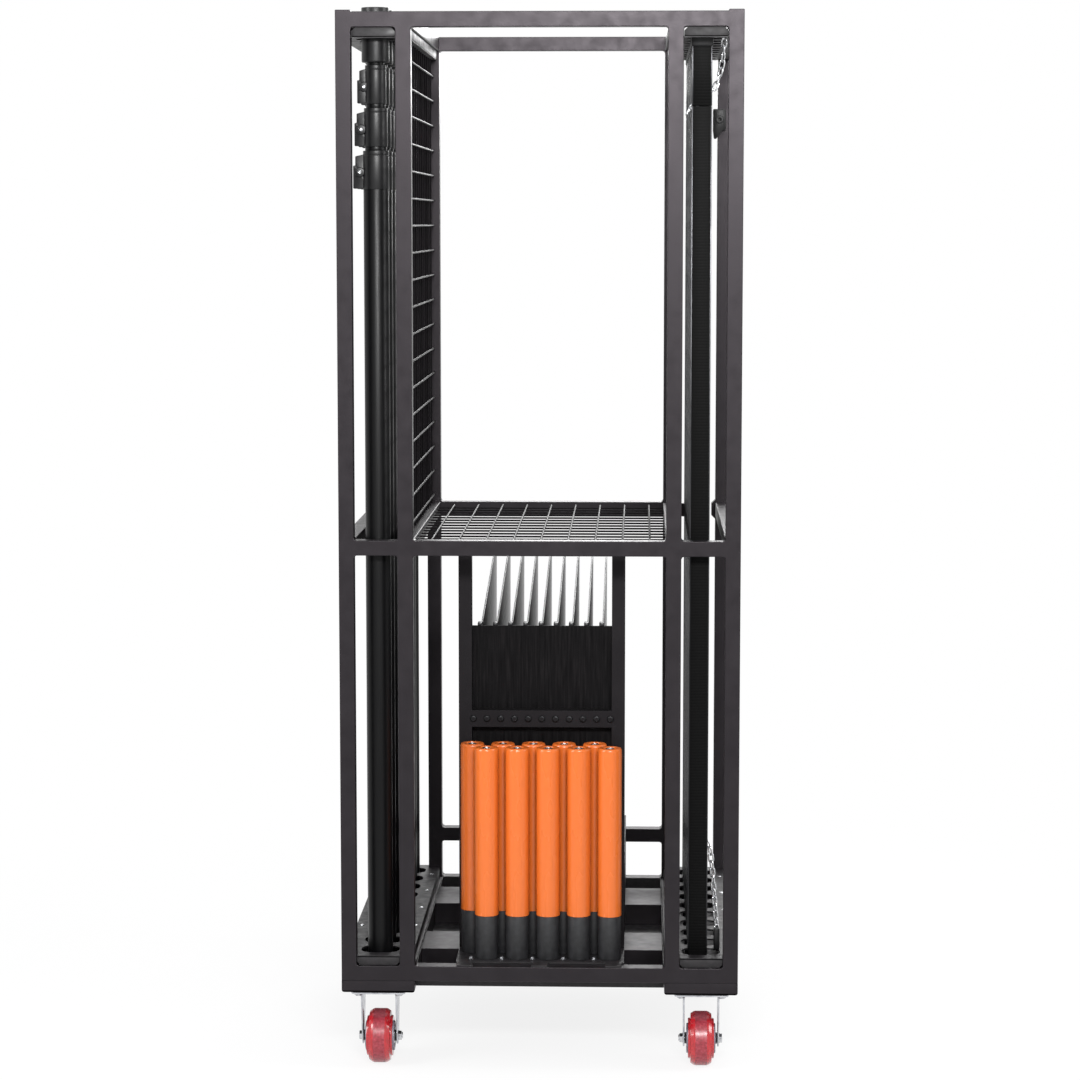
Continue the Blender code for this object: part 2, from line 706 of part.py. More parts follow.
def make_well():
    """The sunk tray between the sills, and two cross channels that carry the rack."""
    half = OPENING_HALF - GAP
    low = BOTTOM_RAIL_Z - TRAY_DROP
    top = RAIL_TOP - GAP
    sheet = TRAY_SHEET
    outer = box((-half, -RAIL_REACH, low), (half, RAIL_REACH, top))
    inside = half - sheet
    reach = RAIL_REACH - sheet
    hollow = box((-inside, -reach, low + sheet), (inside, reach, top + sheet))
    place("well_tray", cut(outer, hollow), PAINT)
    foot = low + sheet + GAP
    end = inside - GAP
    wall = CHANNEL_SHEET
    under = RAIL_TOP - wall
    for word, (y0, y1) in (("front", FRONT_CHANNEL), ("rear", REAR_CHANNEL)):
        section = [(y0, foot), (y0 + wall, foot), (y0 + wall, under), (y1 - wall, under)]
        section += [(y1 - wall, foot), (y1, foot), (y1, RAIL_TOP), (y0, RAIL_TOP)]
        place(f"{word}_cross_channel", prism(section, [], -end, end, "X"), PAINT)


def plate_with_bolts():
    """A caster's top plate with the four bolt heads under it."""
    half = CASTER_PLATE / 2
    outline = rounded(-half, half, -half, half, PLATE_CORNER, 1)
    plate = prism(outline, [], CASTER_PLATE_LOW, CASTER_HEIGHT)
    spread = CASTER_BOLT_SPACING / 2
    heads = []
    for dx in (-spread, spread):
        for dy in (-spread, spread):
            low = CASTER_PLATE_LOW - BOLT_HEAD_HEIGHT
            high = CASTER_PLATE_LOW + PLATE_THICKNESS / 2
            profile = [(0, low), (BOLT_HEAD_RADIUS, low), (BOLT_HEAD_RADIUS, high), (0, high)]
            heads.append(moved(lathe(profile, HEX_SIDES), (dx, dy, 0)))
    return joined(plate, *heads)


def fork_leg(side, top_z, top_y, axle_y):
    """One leg of a fork, tapering down to a round foot at the axle, with the axle's hole."""
    inside = FORK_INSIDE / 2
    x0, x1 = sorted((side * inside, side * (inside + FORK_SHEET)))
    outline = [(top_y + FORK_TOP / 2, top_z), (top_y - FORK_TOP / 2, top_z)]
    for step in range(FOOT_STEPS + 1):
        angle = math.radians(FORK_FOOT_START + FORK_FOOT_TURN * step / FOOT_STEPS)
        y = axle_y + FORK_FOOT_RADIUS * math.cos(angle)
        outline.append((y, WHEEL_RADIUS + FORK_FOOT_RADIUS * math.sin(angle)))
    hole = circle(axle_y, WHEEL_RADIUS, BORE_RADIUS, BORE_SIDES)
    return prism(outline, [hole], x0, x1, "X")


def axle_mesh(side):
    """Axle bolt along X: head on the outer side of the cart, nut on the inner side."""
    outside = FORK_INSIDE / 2 + FORK_SHEET + GAP
    head = outside + AXLE_HEAD_HEIGHT
    nut = outside + NUT_HEIGHT
    profile = [(0, -head), (AXLE_HEAD, -head), (AXLE_HEAD, -outside), (AXLE_RADIUS, -outside)]
    profile += [(AXLE_RADIUS, outside), (AXLE_HEAD, outside), (AXLE_HEAD, nut), (0, nut)]
    bolt = lathe(profile, AXLE_SIDES, "X")
    return flipped(bolt, "X") if side > 0 else bolt


def wheel_mesh():
    """Moulded tread on a core: crowned tread, recessed side and a hub with its bore."""
    hub = HUB_WIDTH / 2
    tread = WHEEL_TREAD / 2
    web = tread - WEB_RECESS
    half_profile = [(BORE_RADIUS, hub), (HUB_RADIUS, hub), (HUB_FOOT_RADIUS, web)]
    half_profile += [(WEB_RADIUS, web), (RIM_RADIUS, tread), (WHEEL_RADIUS, tread - TREAD_CROWN)]
    profile = half_profile + [(radius, -x) for radius, x in reversed(half_profile)]
    return lathe(profile, WHEEL_SIDES, "X", 0)


def empty(name, at, parent=None):
    """An empty on a joint's axis."""
    item = bpy.data.objects.new(name, None)
    bpy.context.scene.collection.objects.link(item)
    item.location = at
    item.parent = parent
    return item


def make_wheel(name, side, at, parent=None):
    """A wheel and its axle bolt under one empty on the axle's line."""
    line = empty(f"{name}_axle_line", at, parent)
    smooth(place(f"{name}_wheel", wheel_mesh(), TREAD, parent=line))
    smooth(place(f"{name}_axle", axle_mesh(side), ZINC, parent=line))


def swivel_plate():
    """Top plate, ball race and kingpin of a swivel caster."""
    race_low = CASTER_PLATE_LOW - RACEWAY_HEIGHT
    pin_low = race_low - GAP - CROWN_HEIGHT - GAP
    seat = CASTER_PLATE_LOW + PLATE_THICKNESS / 2
    head_low = pin_low - KINGPIN_HEAD_HEIGHT
    kingpin = [(0, head_low), (KINGPIN_HEAD, head_low), (KINGPIN_HEAD, pin_low)]
    kingpin += [(KINGPIN_RADIUS, pin_low), (KINGPIN_RADIUS, race_low), (RACEWAY_RADIUS, race_low)]
    kingpin += [(RACEWAY_RADIUS, seat), (0, seat)]
    return joined(plate_with_bolts(), lathe(kingpin, SWIVEL_SIDES))


def swivel_fork():
    """Crown ring, saddle and two legs that trail behind the swivel's axis."""
    top = CASTER_PLATE_LOW - RACEWAY_HEIGHT - GAP
    low = top - CROWN_HEIGHT
    clear = KINGPIN_RADIUS + 2 * GAP
    ring = [(clear, low), (CROWN_RADIUS, low), (CROWN_RADIUS, top), (clear, top)]
    crown = lathe(ring, SWIVEL_SIDES)
    half = FORK_INSIDE / 2 + FORK_SHEET
    shift = -SWIVEL_TRAIL / 2
    back = shift - FORK_TOP / 2
    saddle = box((-half, back, low + GAP), (half, -KINGPIN_HEAD - GAP, top - GAP))
    legs = [fork_leg(side, top - 2 * GAP, shift, -SWIVEL_TRAIL) for side in (-1, 1)]
    return joined(crown, saddle, *legs)


def make_casters():
    """Two rigid casters at the front and two swivel casters, trailing inwards, at the rear."""
    seat = CASTER_PLATE_LOW + PLATE_THICKNESS / 2
    for side, word in ((-1, "left"), (1, "right")):
        x, y = caster_centre(side, -1)
        legs = [fork_leg(s, seat, 0, 0) for s in (-1, 1)]
        bracket = joined(plate_with_bolts(), *legs)
        place(f"front_{word}_caster_bracket", bracket, ZINC, (x, y, 0))
        make_wheel(f"front_{word}", side, (x, y, WHEEL_RADIUS))
        x, y = caster_centre(side, 1)
        place(f"rear_{word}_caster_plate", swivel_plate(), ZINC, (x, y, 0))
        swivel = empty(f"rear_{word}_swivel_line", (x, y, 0))
        place(f"rear_{word}_fork", swivel_fork(), ZINC, parent=swivel)
        make_wheel(f"rear_{word}", side, (0, -SWIVEL_TRAIL, WHEEL_RADIUS), swivel)


def make_rack():
    """Floor tray with the base plates on edge, a goalpost in front of them and a panel behind it."""
    half = RACK_WIDTH / 2
    front = GAP - FRAME_INSIDE_Y
    outline = [(half, RACK_REAR_Y), (-half, RACK_REAR_Y), (-half, front)]
    for x in FLOOR_TABS:
        for px, py in ((-0.5, 0), (-0.5, 1), (0.5, 1), (0.5, 0)):
            outline.append((x + px * FLOOR_TAB, front - py * FLOOR_TAB_REACH))
    outline.append((half, front))
    floor = prism(outline, [], RACK_FLOOR, RACK_FLOOR + FLOOR_SHEET)
    behind = RACK_FRONT_Y + RACK_TUBE + GAP
    sunk = RACK_FLOOR + FLOOR_SHEET / 2
    plate_y = behind + PANEL_SHEET + GAP
    pieces = []
    for side in (-1, 1):
        wall = side_box(side, half - FLOOR_SHEET, half, plate_y, RACK_REAR_Y, sunk, RACK_SIDE_Z)
        pieces.append(wall)
    for index in range(BASE_PLATES):
        x = (index - (BASE_PLATES - 1) / 2) * PLATE_PITCH
        side = [(plate_y, sunk), (RACK_REAR_Y, sunk), (RACK_REAR_Y, BASE_PLATE_REAR_Z)]
        side.append((plate_y, BASE_PLATE_FRONT_Z))
        thick = BASE_PLATE_SHEET / 2
        pieces.append(prism(side, [], x - thick, x + thick, "X"))
    place("rack_tray_with_base_plates", joined(floor, *pieces), PAINT)

    inside = half - RACK_TUBE
    bar_top = RACK_BAR_Z + RACK_BAR_HEIGHT
    goal = [(half, RACK_STAND), (half, RACK_TOP_Z), (inside, RACK_TOP_Z), (inside, bar_top)]
    goal += [(-x, z) for x, z in reversed(goal)]
    goal += [(-inside, RACK_STAND), (-inside, RACK_BAR_Z)]
    goal += [(inside, RACK_BAR_Z), (inside, RACK_STAND)]
    frame = prism(goal, [], RACK_FRONT_Y, RACK_FRONT_Y + RACK_TUBE, "Y")
    screws = []
    for index in range(RACK_SCREWS):
        x = (index / (RACK_SCREWS - 1) - 0.5) * (RACK_SCREWS - 2) * PLATE_PITCH
        low = -RACK_SCREW_HEAD
        profile = [(0, low), (RACK_SCREW_RADIUS, low), (RACK_SCREW_RADIUS, GAP), (0, GAP)]
        head = lathe(profile, HEX_SIDES)
        head.transform(Matrix.Rotation(-math.pi / 2, 4, "X"))
        screws.append(moved(head, (x, RACK_FRONT_Y, RACK_BAR_Z + RACK_BAR_HEIGHT / 2)))
    place("rack_goalpost", joined(frame, *screws), PAINT)
    panel = box((-half, behind, RACK_STAND), (half, behind + PANEL_SHEET, PANEL_TOP_Z))
    place("rack_panel", panel, BRUSHED)


def make_base_pins():
    """Ten pins in two staggered rows: even ones behind, odd ones in front."""
    top = PIN_LENGTH
    recess = top - PIN_RECESS
    profile = [(0, 0), (PIN_FOOT_RADIUS, 0), (PIN_FOOT_RADIUS, PIN_FOOT), (PIN_RADIUS, PIN_FOOT)]
    profile += [(PIN_RADIUS, top - PIN_RIM), (PIN_RADIUS - PIN_RIM, top), (PIN_RECESS_RADIUS, top)]
    profile += [(PIN_RECESS_RADIUS, recess), (PIN_SCREW_RADIUS, recess)]
    profile += [(PIN_SCREW_RADIUS, top - GAP), (0, top - GAP)]
    for index in range(PIN_COUNT):
        x = (index - (PIN_COUNT - 1) / 2) * PLATE_PITCH
        y = PIN_FRONT_Y + (0 if index % 2 else PIN_ROW_STEP)
        pin = place(f"base_pin_{index + 1:02d}", lathe(profile, PIN_SIDES), ORANGE, (x, y, RACK_STAND))
        smooth(pin)


clear_scene()
make_frames()
make_side_rails()
make_slot_plates()
make_meshes()
make_sills_with_load()
make_well()
make_casters()
make_rack()
make_base_pins()
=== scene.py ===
"""Looks for the pipe and drape cart: its steel frame, its load of poles, base plates and pins.

Metres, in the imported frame's own places: +Z up, the front faces -Y, the origin on the floor
under the middle of the cart. Places come from the frame's nodes wherever a node has them.
"""

import json
import math

import bmesh
import bpy
from mathutils import Matrix, Vector

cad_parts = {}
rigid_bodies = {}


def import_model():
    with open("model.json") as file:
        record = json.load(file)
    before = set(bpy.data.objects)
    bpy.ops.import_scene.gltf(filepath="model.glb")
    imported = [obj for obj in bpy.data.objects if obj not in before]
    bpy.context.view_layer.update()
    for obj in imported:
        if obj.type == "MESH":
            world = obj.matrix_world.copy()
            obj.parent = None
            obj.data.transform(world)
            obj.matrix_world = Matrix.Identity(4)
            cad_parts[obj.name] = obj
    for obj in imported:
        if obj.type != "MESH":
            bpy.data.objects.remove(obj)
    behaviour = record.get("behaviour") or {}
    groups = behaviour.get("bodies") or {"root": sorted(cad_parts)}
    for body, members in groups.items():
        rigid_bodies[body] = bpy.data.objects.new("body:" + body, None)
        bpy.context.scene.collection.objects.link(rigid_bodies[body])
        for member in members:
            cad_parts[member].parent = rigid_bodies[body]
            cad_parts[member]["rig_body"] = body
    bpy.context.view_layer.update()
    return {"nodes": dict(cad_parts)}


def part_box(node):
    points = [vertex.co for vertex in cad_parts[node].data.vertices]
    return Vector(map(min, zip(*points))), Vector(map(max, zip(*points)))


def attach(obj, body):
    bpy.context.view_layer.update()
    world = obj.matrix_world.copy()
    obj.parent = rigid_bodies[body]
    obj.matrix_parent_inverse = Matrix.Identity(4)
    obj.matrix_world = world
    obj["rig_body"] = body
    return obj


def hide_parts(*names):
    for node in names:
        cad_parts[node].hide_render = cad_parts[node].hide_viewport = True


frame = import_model()

# Camera, fitted to the photograph's upright and level edges. It has no lens shift
CAMERA_AT = (0.185, -5.85, 1.587)
CAMERA_TURN = 1.93
CAMERA_TILT = 6.12
CAMERA_LENS = 99.5

# Faint violet of the powder coat's shine, linear
COAT_TINT = (1.0, 0.91, 0.98, 1.0)

# Frame
TUBE_EDGE = 0.0018
SHEET_EDGE = 0.0006
SHEET = 0.003
OVERLAP = 0.001
GAP = 0.0003
SILL_DEPTH = 0.0217
SILL_BEND = 0.005

# Welded wire nets, real pitch
WIRE = 0.004
NET_PITCH = 0.0508
WELD_SINK = 0.0005

# Slotted plates
SLOT_PITCH = 0.0762
SLOT_COUNT = 10
SLOT_LENGTH = 0.072
SLOT_WIDTH = 0.054
SLOT_CORNER = 0.024
TAB_CHAMFER = 0.007
RIVET_OFFSET = 0.052

# Telescoping uprights. A knob's pivot is in from its tip and below its stem
TUBE_RADIUS = 0.0235
COLLAR_FOOT = 1.4897
COLLAR_HEIGHT = 0.070
COLLAR_STEP = 0.0775
COLLAR_GROOVE = 0.0005
COLLAR_RADII = (0.0240, 0.0218, 0.0194)
STAGE_RADII = (0.0200, 0.0178, 0.0160)
KNOB_REACH = (0.042, 0.039, 0.0336)
KNOB_THICKNESS = 0.012
KNOB_EAR = 0.0095
KNOB_CHEEK = 0.0045
KNOB_PIVOT = (0.0125, 0.004)
UPRIGHT_LENGTH = 1.8187

# Crossbars
BAR_WIDTH = 0.037
BAR_THICKNESS = 0.025
BAR_LENGTH = 1.7917
BAR_HOOK = 0.044
BAR_TIP = 0.0015
BAR_JOINT_Z = 1.640
BAR_JOINT_GAP = 0.0006
BAR_FOOT = 0.022
BAR_EDGE_STRIP = 0.002
RIB_PITCH = 0.0055

# Base pins
PIN_FOOT = 0.0824
PIN_FOOT_RADIUS = 0.0218
PIN_RADIUS = 0.0226
PIN_LENGTH = 0.4014
PIN_RECESS = 0.0125
PIN_RECESS_DEPTH = 0.004
PIN_WASHER = 0.0119
PIN_COUNT = 10
SLEEVE_LIP = 0.0035

# Casters
WHEEL_RADIUS = 0.0508
TREAD_HALF = 0.0208
TREAD_BAND = 0.0110
LIP_HALF = 0.0245
CORE_HALF = 0.0272
HUB_HALF = 0.0305
TREAD_ROOT = 0.030
LIP_ROOT = 0.0265
LIP_RADIUS = 0.0390
CORE_RADIUS = 0.0285
CORE_STEP = 0.0230
CORE_WELL = 0.0190
CUP_RADIUS = 0.0160
BUSH_RADIUS = 0.0110
BORE = 0.0053
AXLE_RADIUS = 0.0049
FORK_HALF = 0.031
FORK_SHEET = 0.003
FORK_FOOT = 0.016
FORK_FOOT_ARC = (190, 350)
FORK_WIDTH = 0.075
FORK_DEPTH = 0.008
FORK_CROWN_FRONT = -0.0103
RACE_DEPTH = 0.006
PLATE_TOP = 0.146
PLATE_THICK = 0.0032
PLATE_HALF = 0.0508
PLATE_CORNER = 0.008
BOLT_SPREAD = 0.038
BOLT_SIZE = (0.0075, 0.005, 0.0012)
TRAIL = 0.034

# Rack of base plates
RACK_TONGUES = (-0.140, 0.0, 0.138)
TONGUE_HALF = 0.015
RACK_WALL_TOP = 0.337
BASE_PLATES = 9
BASE_PLATE_HALF = 0.0015
BASE_PLATE_CORNER = 0.012
BASE_PLATE_FRONT_TOP = 0.820
LUG_SIDE = 0.0075
LUG_REACH = 0.022
LUG_LOW = 0.8175
LUG_TOP = 0.8262
BAR_SCREWS = 11
BAR_SCREW_Z = 0.646
BAR_SCREW_SINK = 0.0025
NUT_SETBACK = 0.012

# Latch: height of the wedge under its block, and how far its face stands back
LATCH_WEDGE = 0.018
LATCH_FACE = 0.003

# Studio floor: the share of its own white under the cart, and where that rises to the whole
FLOOR_GLOW = 0.85
FLOOR_FADE = (0.5, 2.0)
FLOOR_RADIUS = 30

# Safety chains: links of round wire
LINK_LENGTH = 0.0200
LINK_WIDTH = 0.0120
LINK_WIRE = 0.0032

# Where the chains hang: x, distance behind the front crossbar's middle, and z. The upper run's z is
# from its top, and the z of the lower end and its clip is from the slotted plate
UPPER_RUN = ((0.335, 0.008, 0), (0.333, 0.022, -0.035), (0.322, 0.026, -0.080), (0.300, 0.026, -0.108),
             (0.283, 0.024, -0.118), (0.272, 0.022, -0.127), (0.268, 0.022, -0.140))
LOWER_RUN = ((0.300, 0.030, 0.432), (0.316, 0.027, 0.418), (0.322, 0.024, 0.380), (0.327, 0.021, 0.320))
LOWER_END = (0.333, 0.018, 0.030)
CLIP_LOW = (0.326, 0.012, 0)
CLIP_HIGH = (0.338, 0.024, 0.042)

# Turned parts, as (radius, height) corners. Cap and pin screw: height from the top
UPRIGHT_CAP = ((0, -0.099), (0.0245, -0.099), (0.0255, -0.097), (0.0255, -0.020), (0.0247, -0.019),
               (0.0247, -0.017), (0.0255, -0.016), (0.0255, 0), (0.0215, 0), (0.0205, -0.0015),
               (0, -0.0015))
KNOB_SCREW = ((0, 0), (0.0034, 0), (0.0034, 0.0014), (0.0018, 0.0020), (0, 0.0012))
FOOT_STUD = ((0, 0), (0.0045, 0), (0.0045, 0.0016), (0.003, 0.0026), (0, 0.0026))
PIN_SCREW = ((0, -0.003), (0.0082, -0.003), (0.0082, -0.0008), (0.0032, -0.0004), (0.0032, -0.0022),
             (0, -0.0022))
AXLE_HEAD = ((0, 0.0003), (0.0098, 0.0003), (0.0098, 0.0015), (0.0085, 0.0015), (0.0088, 0.0055),
             (0.0078, 0.0062), (0, 0.0062))
AXLE_NUT = ((0, 0.0003), (0.0098, 0.0003), (0.0098, 0.0015), (0.0088, 0.0015), (0.0088, 0.0058),
            (0.0070, 0.0066), (0.0056, 0.0082), (0.0045, 0.0082), (0, 0.0082))
RACE_CUP = ((0, 0), (0.0335, 0), (0.0345, 0.002), (0.0360, RACE_DEPTH), (0, RACE_DEPTH))
KINGPIN = ((0, -0.0139), (0.0085, -0.0139), (0.0098, -0.0120), (0.0098, -0.0087), (0.006, -0.0087),
           (0.006, 0), (0, 0))
FORK_RING = ((0.0068, -FORK_DEPTH), (0.0355, -FORK_DEPTH), (0.0362, -0.0035), (0.0348, 0), (0.0068, 0))
RACE_SEAL = ((0.0345, -0.0012), (0.0368, -0.0008), (0.0368, -0.0002), (0.0345, -0.0002))
BAR_SCREW = ((0, 0), (0.0066, 0), (0.0066, 0.0010), (0.0054, 0.0028), (0.0030, 0.0033),
             (0.0030, 0.0012), (0, 0.0012))
FLOOR_NUT = ((0, 0), (0.0064, 0), (0.0064, 0.0010), (0.0044, 0.0012), (0.0042, 0.0036),
             (0.0026, 0.0050), (0, 0.0052))
LATCH_BUTTON = ((0, 0), (0.0085, 0), (0.0080, 0.003), (0.0030, 0.003), (0.0030, 0.002), (0, 0.002))
RIVET = ((0, 0), (0.0042, 0), (0.0036, 0.0012), (0.0015, 0.0020), (0, 0.0021))

# Soft lamps: name, place, aim, size and watts
LAMPS = (("key_above_camera", (0.45, -4.6, 2.72), (0, 0, 1.7), (1.8, 0.5), 235),
         ("overhead", (0.0, -0.2, 3.8), (0, 0, 1.0), (2.4, 2.0), 45),
         ("side_right", (2.9, -0.6, 2.2), (0, 0, 1.0), (1.0, 2.2), 60),
         ("side_left", (-2.8, -1.9, 2.1), (0, 0, 1.0), (1.0, 2.2), 80),
         ("behind", (0.6, 3.6, 2.6), (0, 0, 1.0), (2.2, 1.4), 85))
ROOM_LIGHT = 0.20
ROOM_TINT = (0.95, 0.96, 1.0, 1)


def linear(shade):
    """An sRGB hex value as linear red, green, blue and alpha."""
    parts = [int(shade[at : at + 2], 16) / 255 for at in (1, 3, 5)]
    return [c / 12.92 if c <= 0.04045 else ((c + 0.055) / 1.055) ** 2.4 for c in parts] + [1]


def add(tree, kind, sockets=(), **settings):
    """Adds a node with its settings. A socket takes a constant or another node's output."""
    node = tree.nodes.new("ShaderNode" + kind)
    for key, value in settings.items():
        setattr(node, key, value)
    for key, value in dict(sockets).items():
        if isinstance(value, bpy.types.NodeSocket):
            tree.links.new(value, node.inputs[key])
        else:
            node.inputs[key].default_value = value
    return node


def finish(name, shade, metallic, roughness, gloss=0.5, **more):
    """A material with its constants set on the shader's own sockets."""
    material = bpy.data.materials.new(name)
    material.use_nodes = True
    shader = material.node_tree.nodes["Principled BSDF"]
    sockets = {"Base_Color": linear(shade), "Metallic": metallic, "Roughness": roughness}
    for key, value in (sockets | {"Specular_IOR_Level": gloss} | more).items():
        shader.inputs[key.replace("_", " ")].default_value = value
    material.diffuse_color = linear(shade)
    return material, shader


def grain(shader, size, detail, stretch=(1, 1, 1)):
    """A pattern whose patches are about this size on the piece itself."""
    tree = shader.id_data
    spot = add(tree, "TexCoord").outputs["Object"]
    spot = add(tree, "Mapping", {"Vector": spot, "Scale": stretch}).outputs["Vector"]
    return add(tree, "TexNoise", {"Vector": spot, "Scale": 1 / size, "Detail": detail}).outputs["Fac"]


def pattern_end(shader, kind, socket, pattern, sockets=()):
    """Adds a node fed by a pattern: a node's output, or grain's (size, detail, stretch)."""
    if isinstance(pattern, tuple):
        pattern = grain(shader, *pattern)
    return add(shader.id_data, kind, {socket: pattern} | dict(sockets))


def shade_by(shader, pattern, stops):
    """Colours the piece by a pattern. Stops are (level, sRGB hex)."""
    ramp = pattern_end(shader, "ValToRGB", "Fac", pattern)
    while len(ramp.color_ramp.elements) < len(stops):
        ramp.color_ramp.elements.new(0.5)
    for element, (level, shade) in zip(ramp.color_ramp.elements, stops):
        element.position = level
        element.color = linear(shade)
    shader.id_data.links.new(ramp.outputs["Color"], shader.inputs["Base Color"])


def rough_by(shader, pattern, low, high):
    """Roughness that runs from low to high with a pattern."""
    ends = {"From Min": 0.3, "From Max": 0.7, "To Min": low, "To Max": high}
    spread = pattern_end(shader, "MapRange", "Value", pattern, ends)
    shader.id_data.links.new(spread.outputs["Result"], shader.inputs["Roughness"])


def raised_by(shader, pattern, depth, strength):
    """Relief of this depth from a pattern."""
    sockets = {"Distance": depth, "Strength": strength}
    relief = pattern_end(shader, "Bump", "Height", pattern, sockets)
    shader.id_data.links.new(relief.outputs["Normal"], shader.inputs["Normal"])


def powder_coat(name, dark, light, roughness=0.37, gloss=0.28):
    """Polyester powder coat baked on steel: near-black with a faint violet cast and orange peel.

    Real orange peel is about 1 mm across. It is drawn at 3 mm so that it shows.
    """
    material, shader = finish(name, dark, 0.0, roughness, gloss, Specular_Tint=COAT_TINT)
    shade_by(shader, (0.090, 3), ((0.35, dark), (0.65, light)))
    rough_by(shader, (0.025, 3), roughness - 0.05, roughness + 0.06)
    raised_by(shader, (0.003, 1), 0.00012, 0.5)
    return material


def worn_powder_coat(name, dark, light, scuff):
    """Powder coat where poles slide on it: dull, with pale scuffs and dust 2 to 8 mm across."""
    material, shader = finish(name, dark, 0.0, 0.5, 0.3)
    stops = ((0.30, dark), (0.60, light), (0.71, light), (0.80, scuff))
    shade_by(shader, (0.008, 6, (1, 0.45, 1)), stops)
    rough_by(shader, (0.020, 3), 0.36, 0.58)
    raised_by(shader, (0.003, 1), 0.00012, 0.5)
    return material


def black_anodised_tube():
    """Black anodised aluminium tube, drawn lengthwise: soft gloss with faint draw lines 1.5 mm apart."""
    material, shader = finish("black_anodised_drawn_aluminium", "#0b0b0c", 0.0, 0.36, 0.17)
    shade_by(shader, (0.012, 3, (1, 1, 0.03)), ((0.3, "#060607"), (0.7, "#0c0c0d")))
    rough_by(shader, (0.0015, 2, (1, 1, 0.02)), 0.30, 0.42)
    raised_by(shader, (0.0015, 1, (1, 1, 0.02)), 0.00005, 0.4)
    return material


def moulded_nylon(name, shade, roughness=0.38, gloss=0.3):
    """Glass-filled nylon, moulded: black, half-matt, with a 1 mm pebble drawn at 2 mm."""
    material, shader = finish(name, shade, 0.0, roughness, gloss)
    rough_by(shader, (0.010, 2), roughness - 0.05, roughness + 0.05)
    raised_by(shader, (0.002, 2), 0.00006, 0.4)
    return material


def zinc_plate():
    """Bright zinc-plated pressed steel: nearly white metal with faint clouds and rolling lines."""
    material, shader = finish("zinc_plated_pressed_steel", "#bfc1c6", 1.0, 0.26)
    shade_by(shader, (0.015, 3), ((0.3, "#a5a7ad"), (0.7, "#d2d3d7")))
    rough_by(shader, (0.004, 3), 0.16, 0.34)
    raised_by(shader, (0.006, 2, (1, 0.2, 1)), 0.00006, 0.4)
    return material


def tumbled_steel(name, shade, roughness, stain="#77777a"):
    """Plated fastener or chain steel, tumbled smooth, with small dark stains."""
    material, shader = finish(name, shade, 1.0, roughness)
    shade_by(shader, (0.003, 4), ((0.25, stain), (0.55, shade)))
    rough_by(shader, (0.002, 2), roughness - 0.06, roughness + 0.10)
    return material


def cast_polyurethane():
    """Cast polyurethane tread: wine red, dusty where it rolls, in clouds about 4 mm across."""
    material, shader = finish("cast_polyurethane_tread", "#86222e", 0.0, 0.34, Coat_Weight=0.2,
                              Coat_Roughness=0.2, Subsurface_Weight=0.08)
    shader.inputs["Subsurface Radius"].default_value = (0.004, 0.001, 0.001)
    stops = ((0.28, "#721822"), (0.52, "#8b2733"), (0.74, "#a0404c"))
    shade_by(shader, (0.004, 4), stops)
    rough_by(shader, (0.010, 4), 0.26, 0.48)
    raised_by(shader, (0.0025, 2), 0.00008, 0.5)
    return material


def glossy_polyurethane():
    """The same resin on the wheel's side, as it left the mould: clear red and glossy."""
    material, shader = finish("moulded_polyurethane_side", "#a0141c", 0.0, 0.2, Coat_Weight=0.5,
                              Coat_Roughness=0.1)
    shade_by(shader, (0.012, 3), ((0.3, "#8e1119"), (0.7, "#b01c25")))
    return material


def wheel_core():
    """Moulded polyolefin core: grey-violet, half-matt."""
    material, shader = finish("moulded_polyolefin_core", "#6d6670", 0.0, 0.42)
    shade_by(shader, (0.008, 3), ((0.3, "#5c5660"), (0.7, "#7e7783")))
    return material


def vinyl_sleeve():
    """Shrunk vinyl sleeve: bright orange, glossy, faintly drawn lengthwise as it shrank."""
    material, shader = finish("shrunk_orange_vinyl", "#c96224", 0.0, 0.28, 0.35, Coat_Weight=0.2,
                              Coat_Roughness=0.12)
    shade_by(shader, (0.040, 2, (1, 1, 0.1)), ((0.3, "#c66023"), (0.7, "#cb6425")))
    rough_by(shader, (0.030, 2, (1, 1, 0.2)), 0.25, 0.32)
    return material


def turned_steel_foot():
    """Black powder-coated steel foot of a pin, rubbed dull where it is handled."""
    material, shader = finish("rubbed_black_powder_coat", "#1f1f21", 0.0, 0.46, 0.3)
    shade_by(shader, (0.012, 4), ((0.3, "#1b1b1c"), (0.7, "#262628")))
    rough_by(shader, (0.008, 3), 0.38, 0.56)
    return material


def ribbed_batten():
    """Black extruded batten with cross ribs 5.5 mm apart on its faces, and painted shade that darkens
    each groove and lightens each crest.
    """
    material, shader = finish("ribbed_black_batten", "#0c0c0c", 0.0, 0.55, 0.06)
    tree = shader.id_data
    spot = add(tree, "TexCoord").outputs["Object"]
    ribs_and_groove_shade = add(tree, "TexWave", {"Vector": spot, "Scale": 0.314 / RIB_PITCH, "Distortion": 0.0},
               bands_direction="Z", wave_profile="SAW").outputs["Fac"]
    # Painted shade: the colour follows the rib height, dark in each groove and lighter on each crest
    shade_by(shader, ribs_and_groove_shade, ((0.0, "#050505"), (0.25, "#0b0b0b"), (1.0, "#121212")))
    raised_by(shader, ribs_and_groove_shade, 0.0006, 0.8)
    return material


def smoked_aluminium():
    """Extruded aluminium edge, anodised smoke grey: fine lengthwise die lines."""
    material, shader = finish("extruded_smoked_aluminium", "#3a3a3c", 1.0, 0.34)
    shade_by(shader, (0.002, 2, (1, 1, 0.02)), ((0.3, "#323234"), (0.7, "#444446")))
    rough_by(shader, (0.003, 2, (1, 1, 0.05)), 0.24, 0.42)
    return material


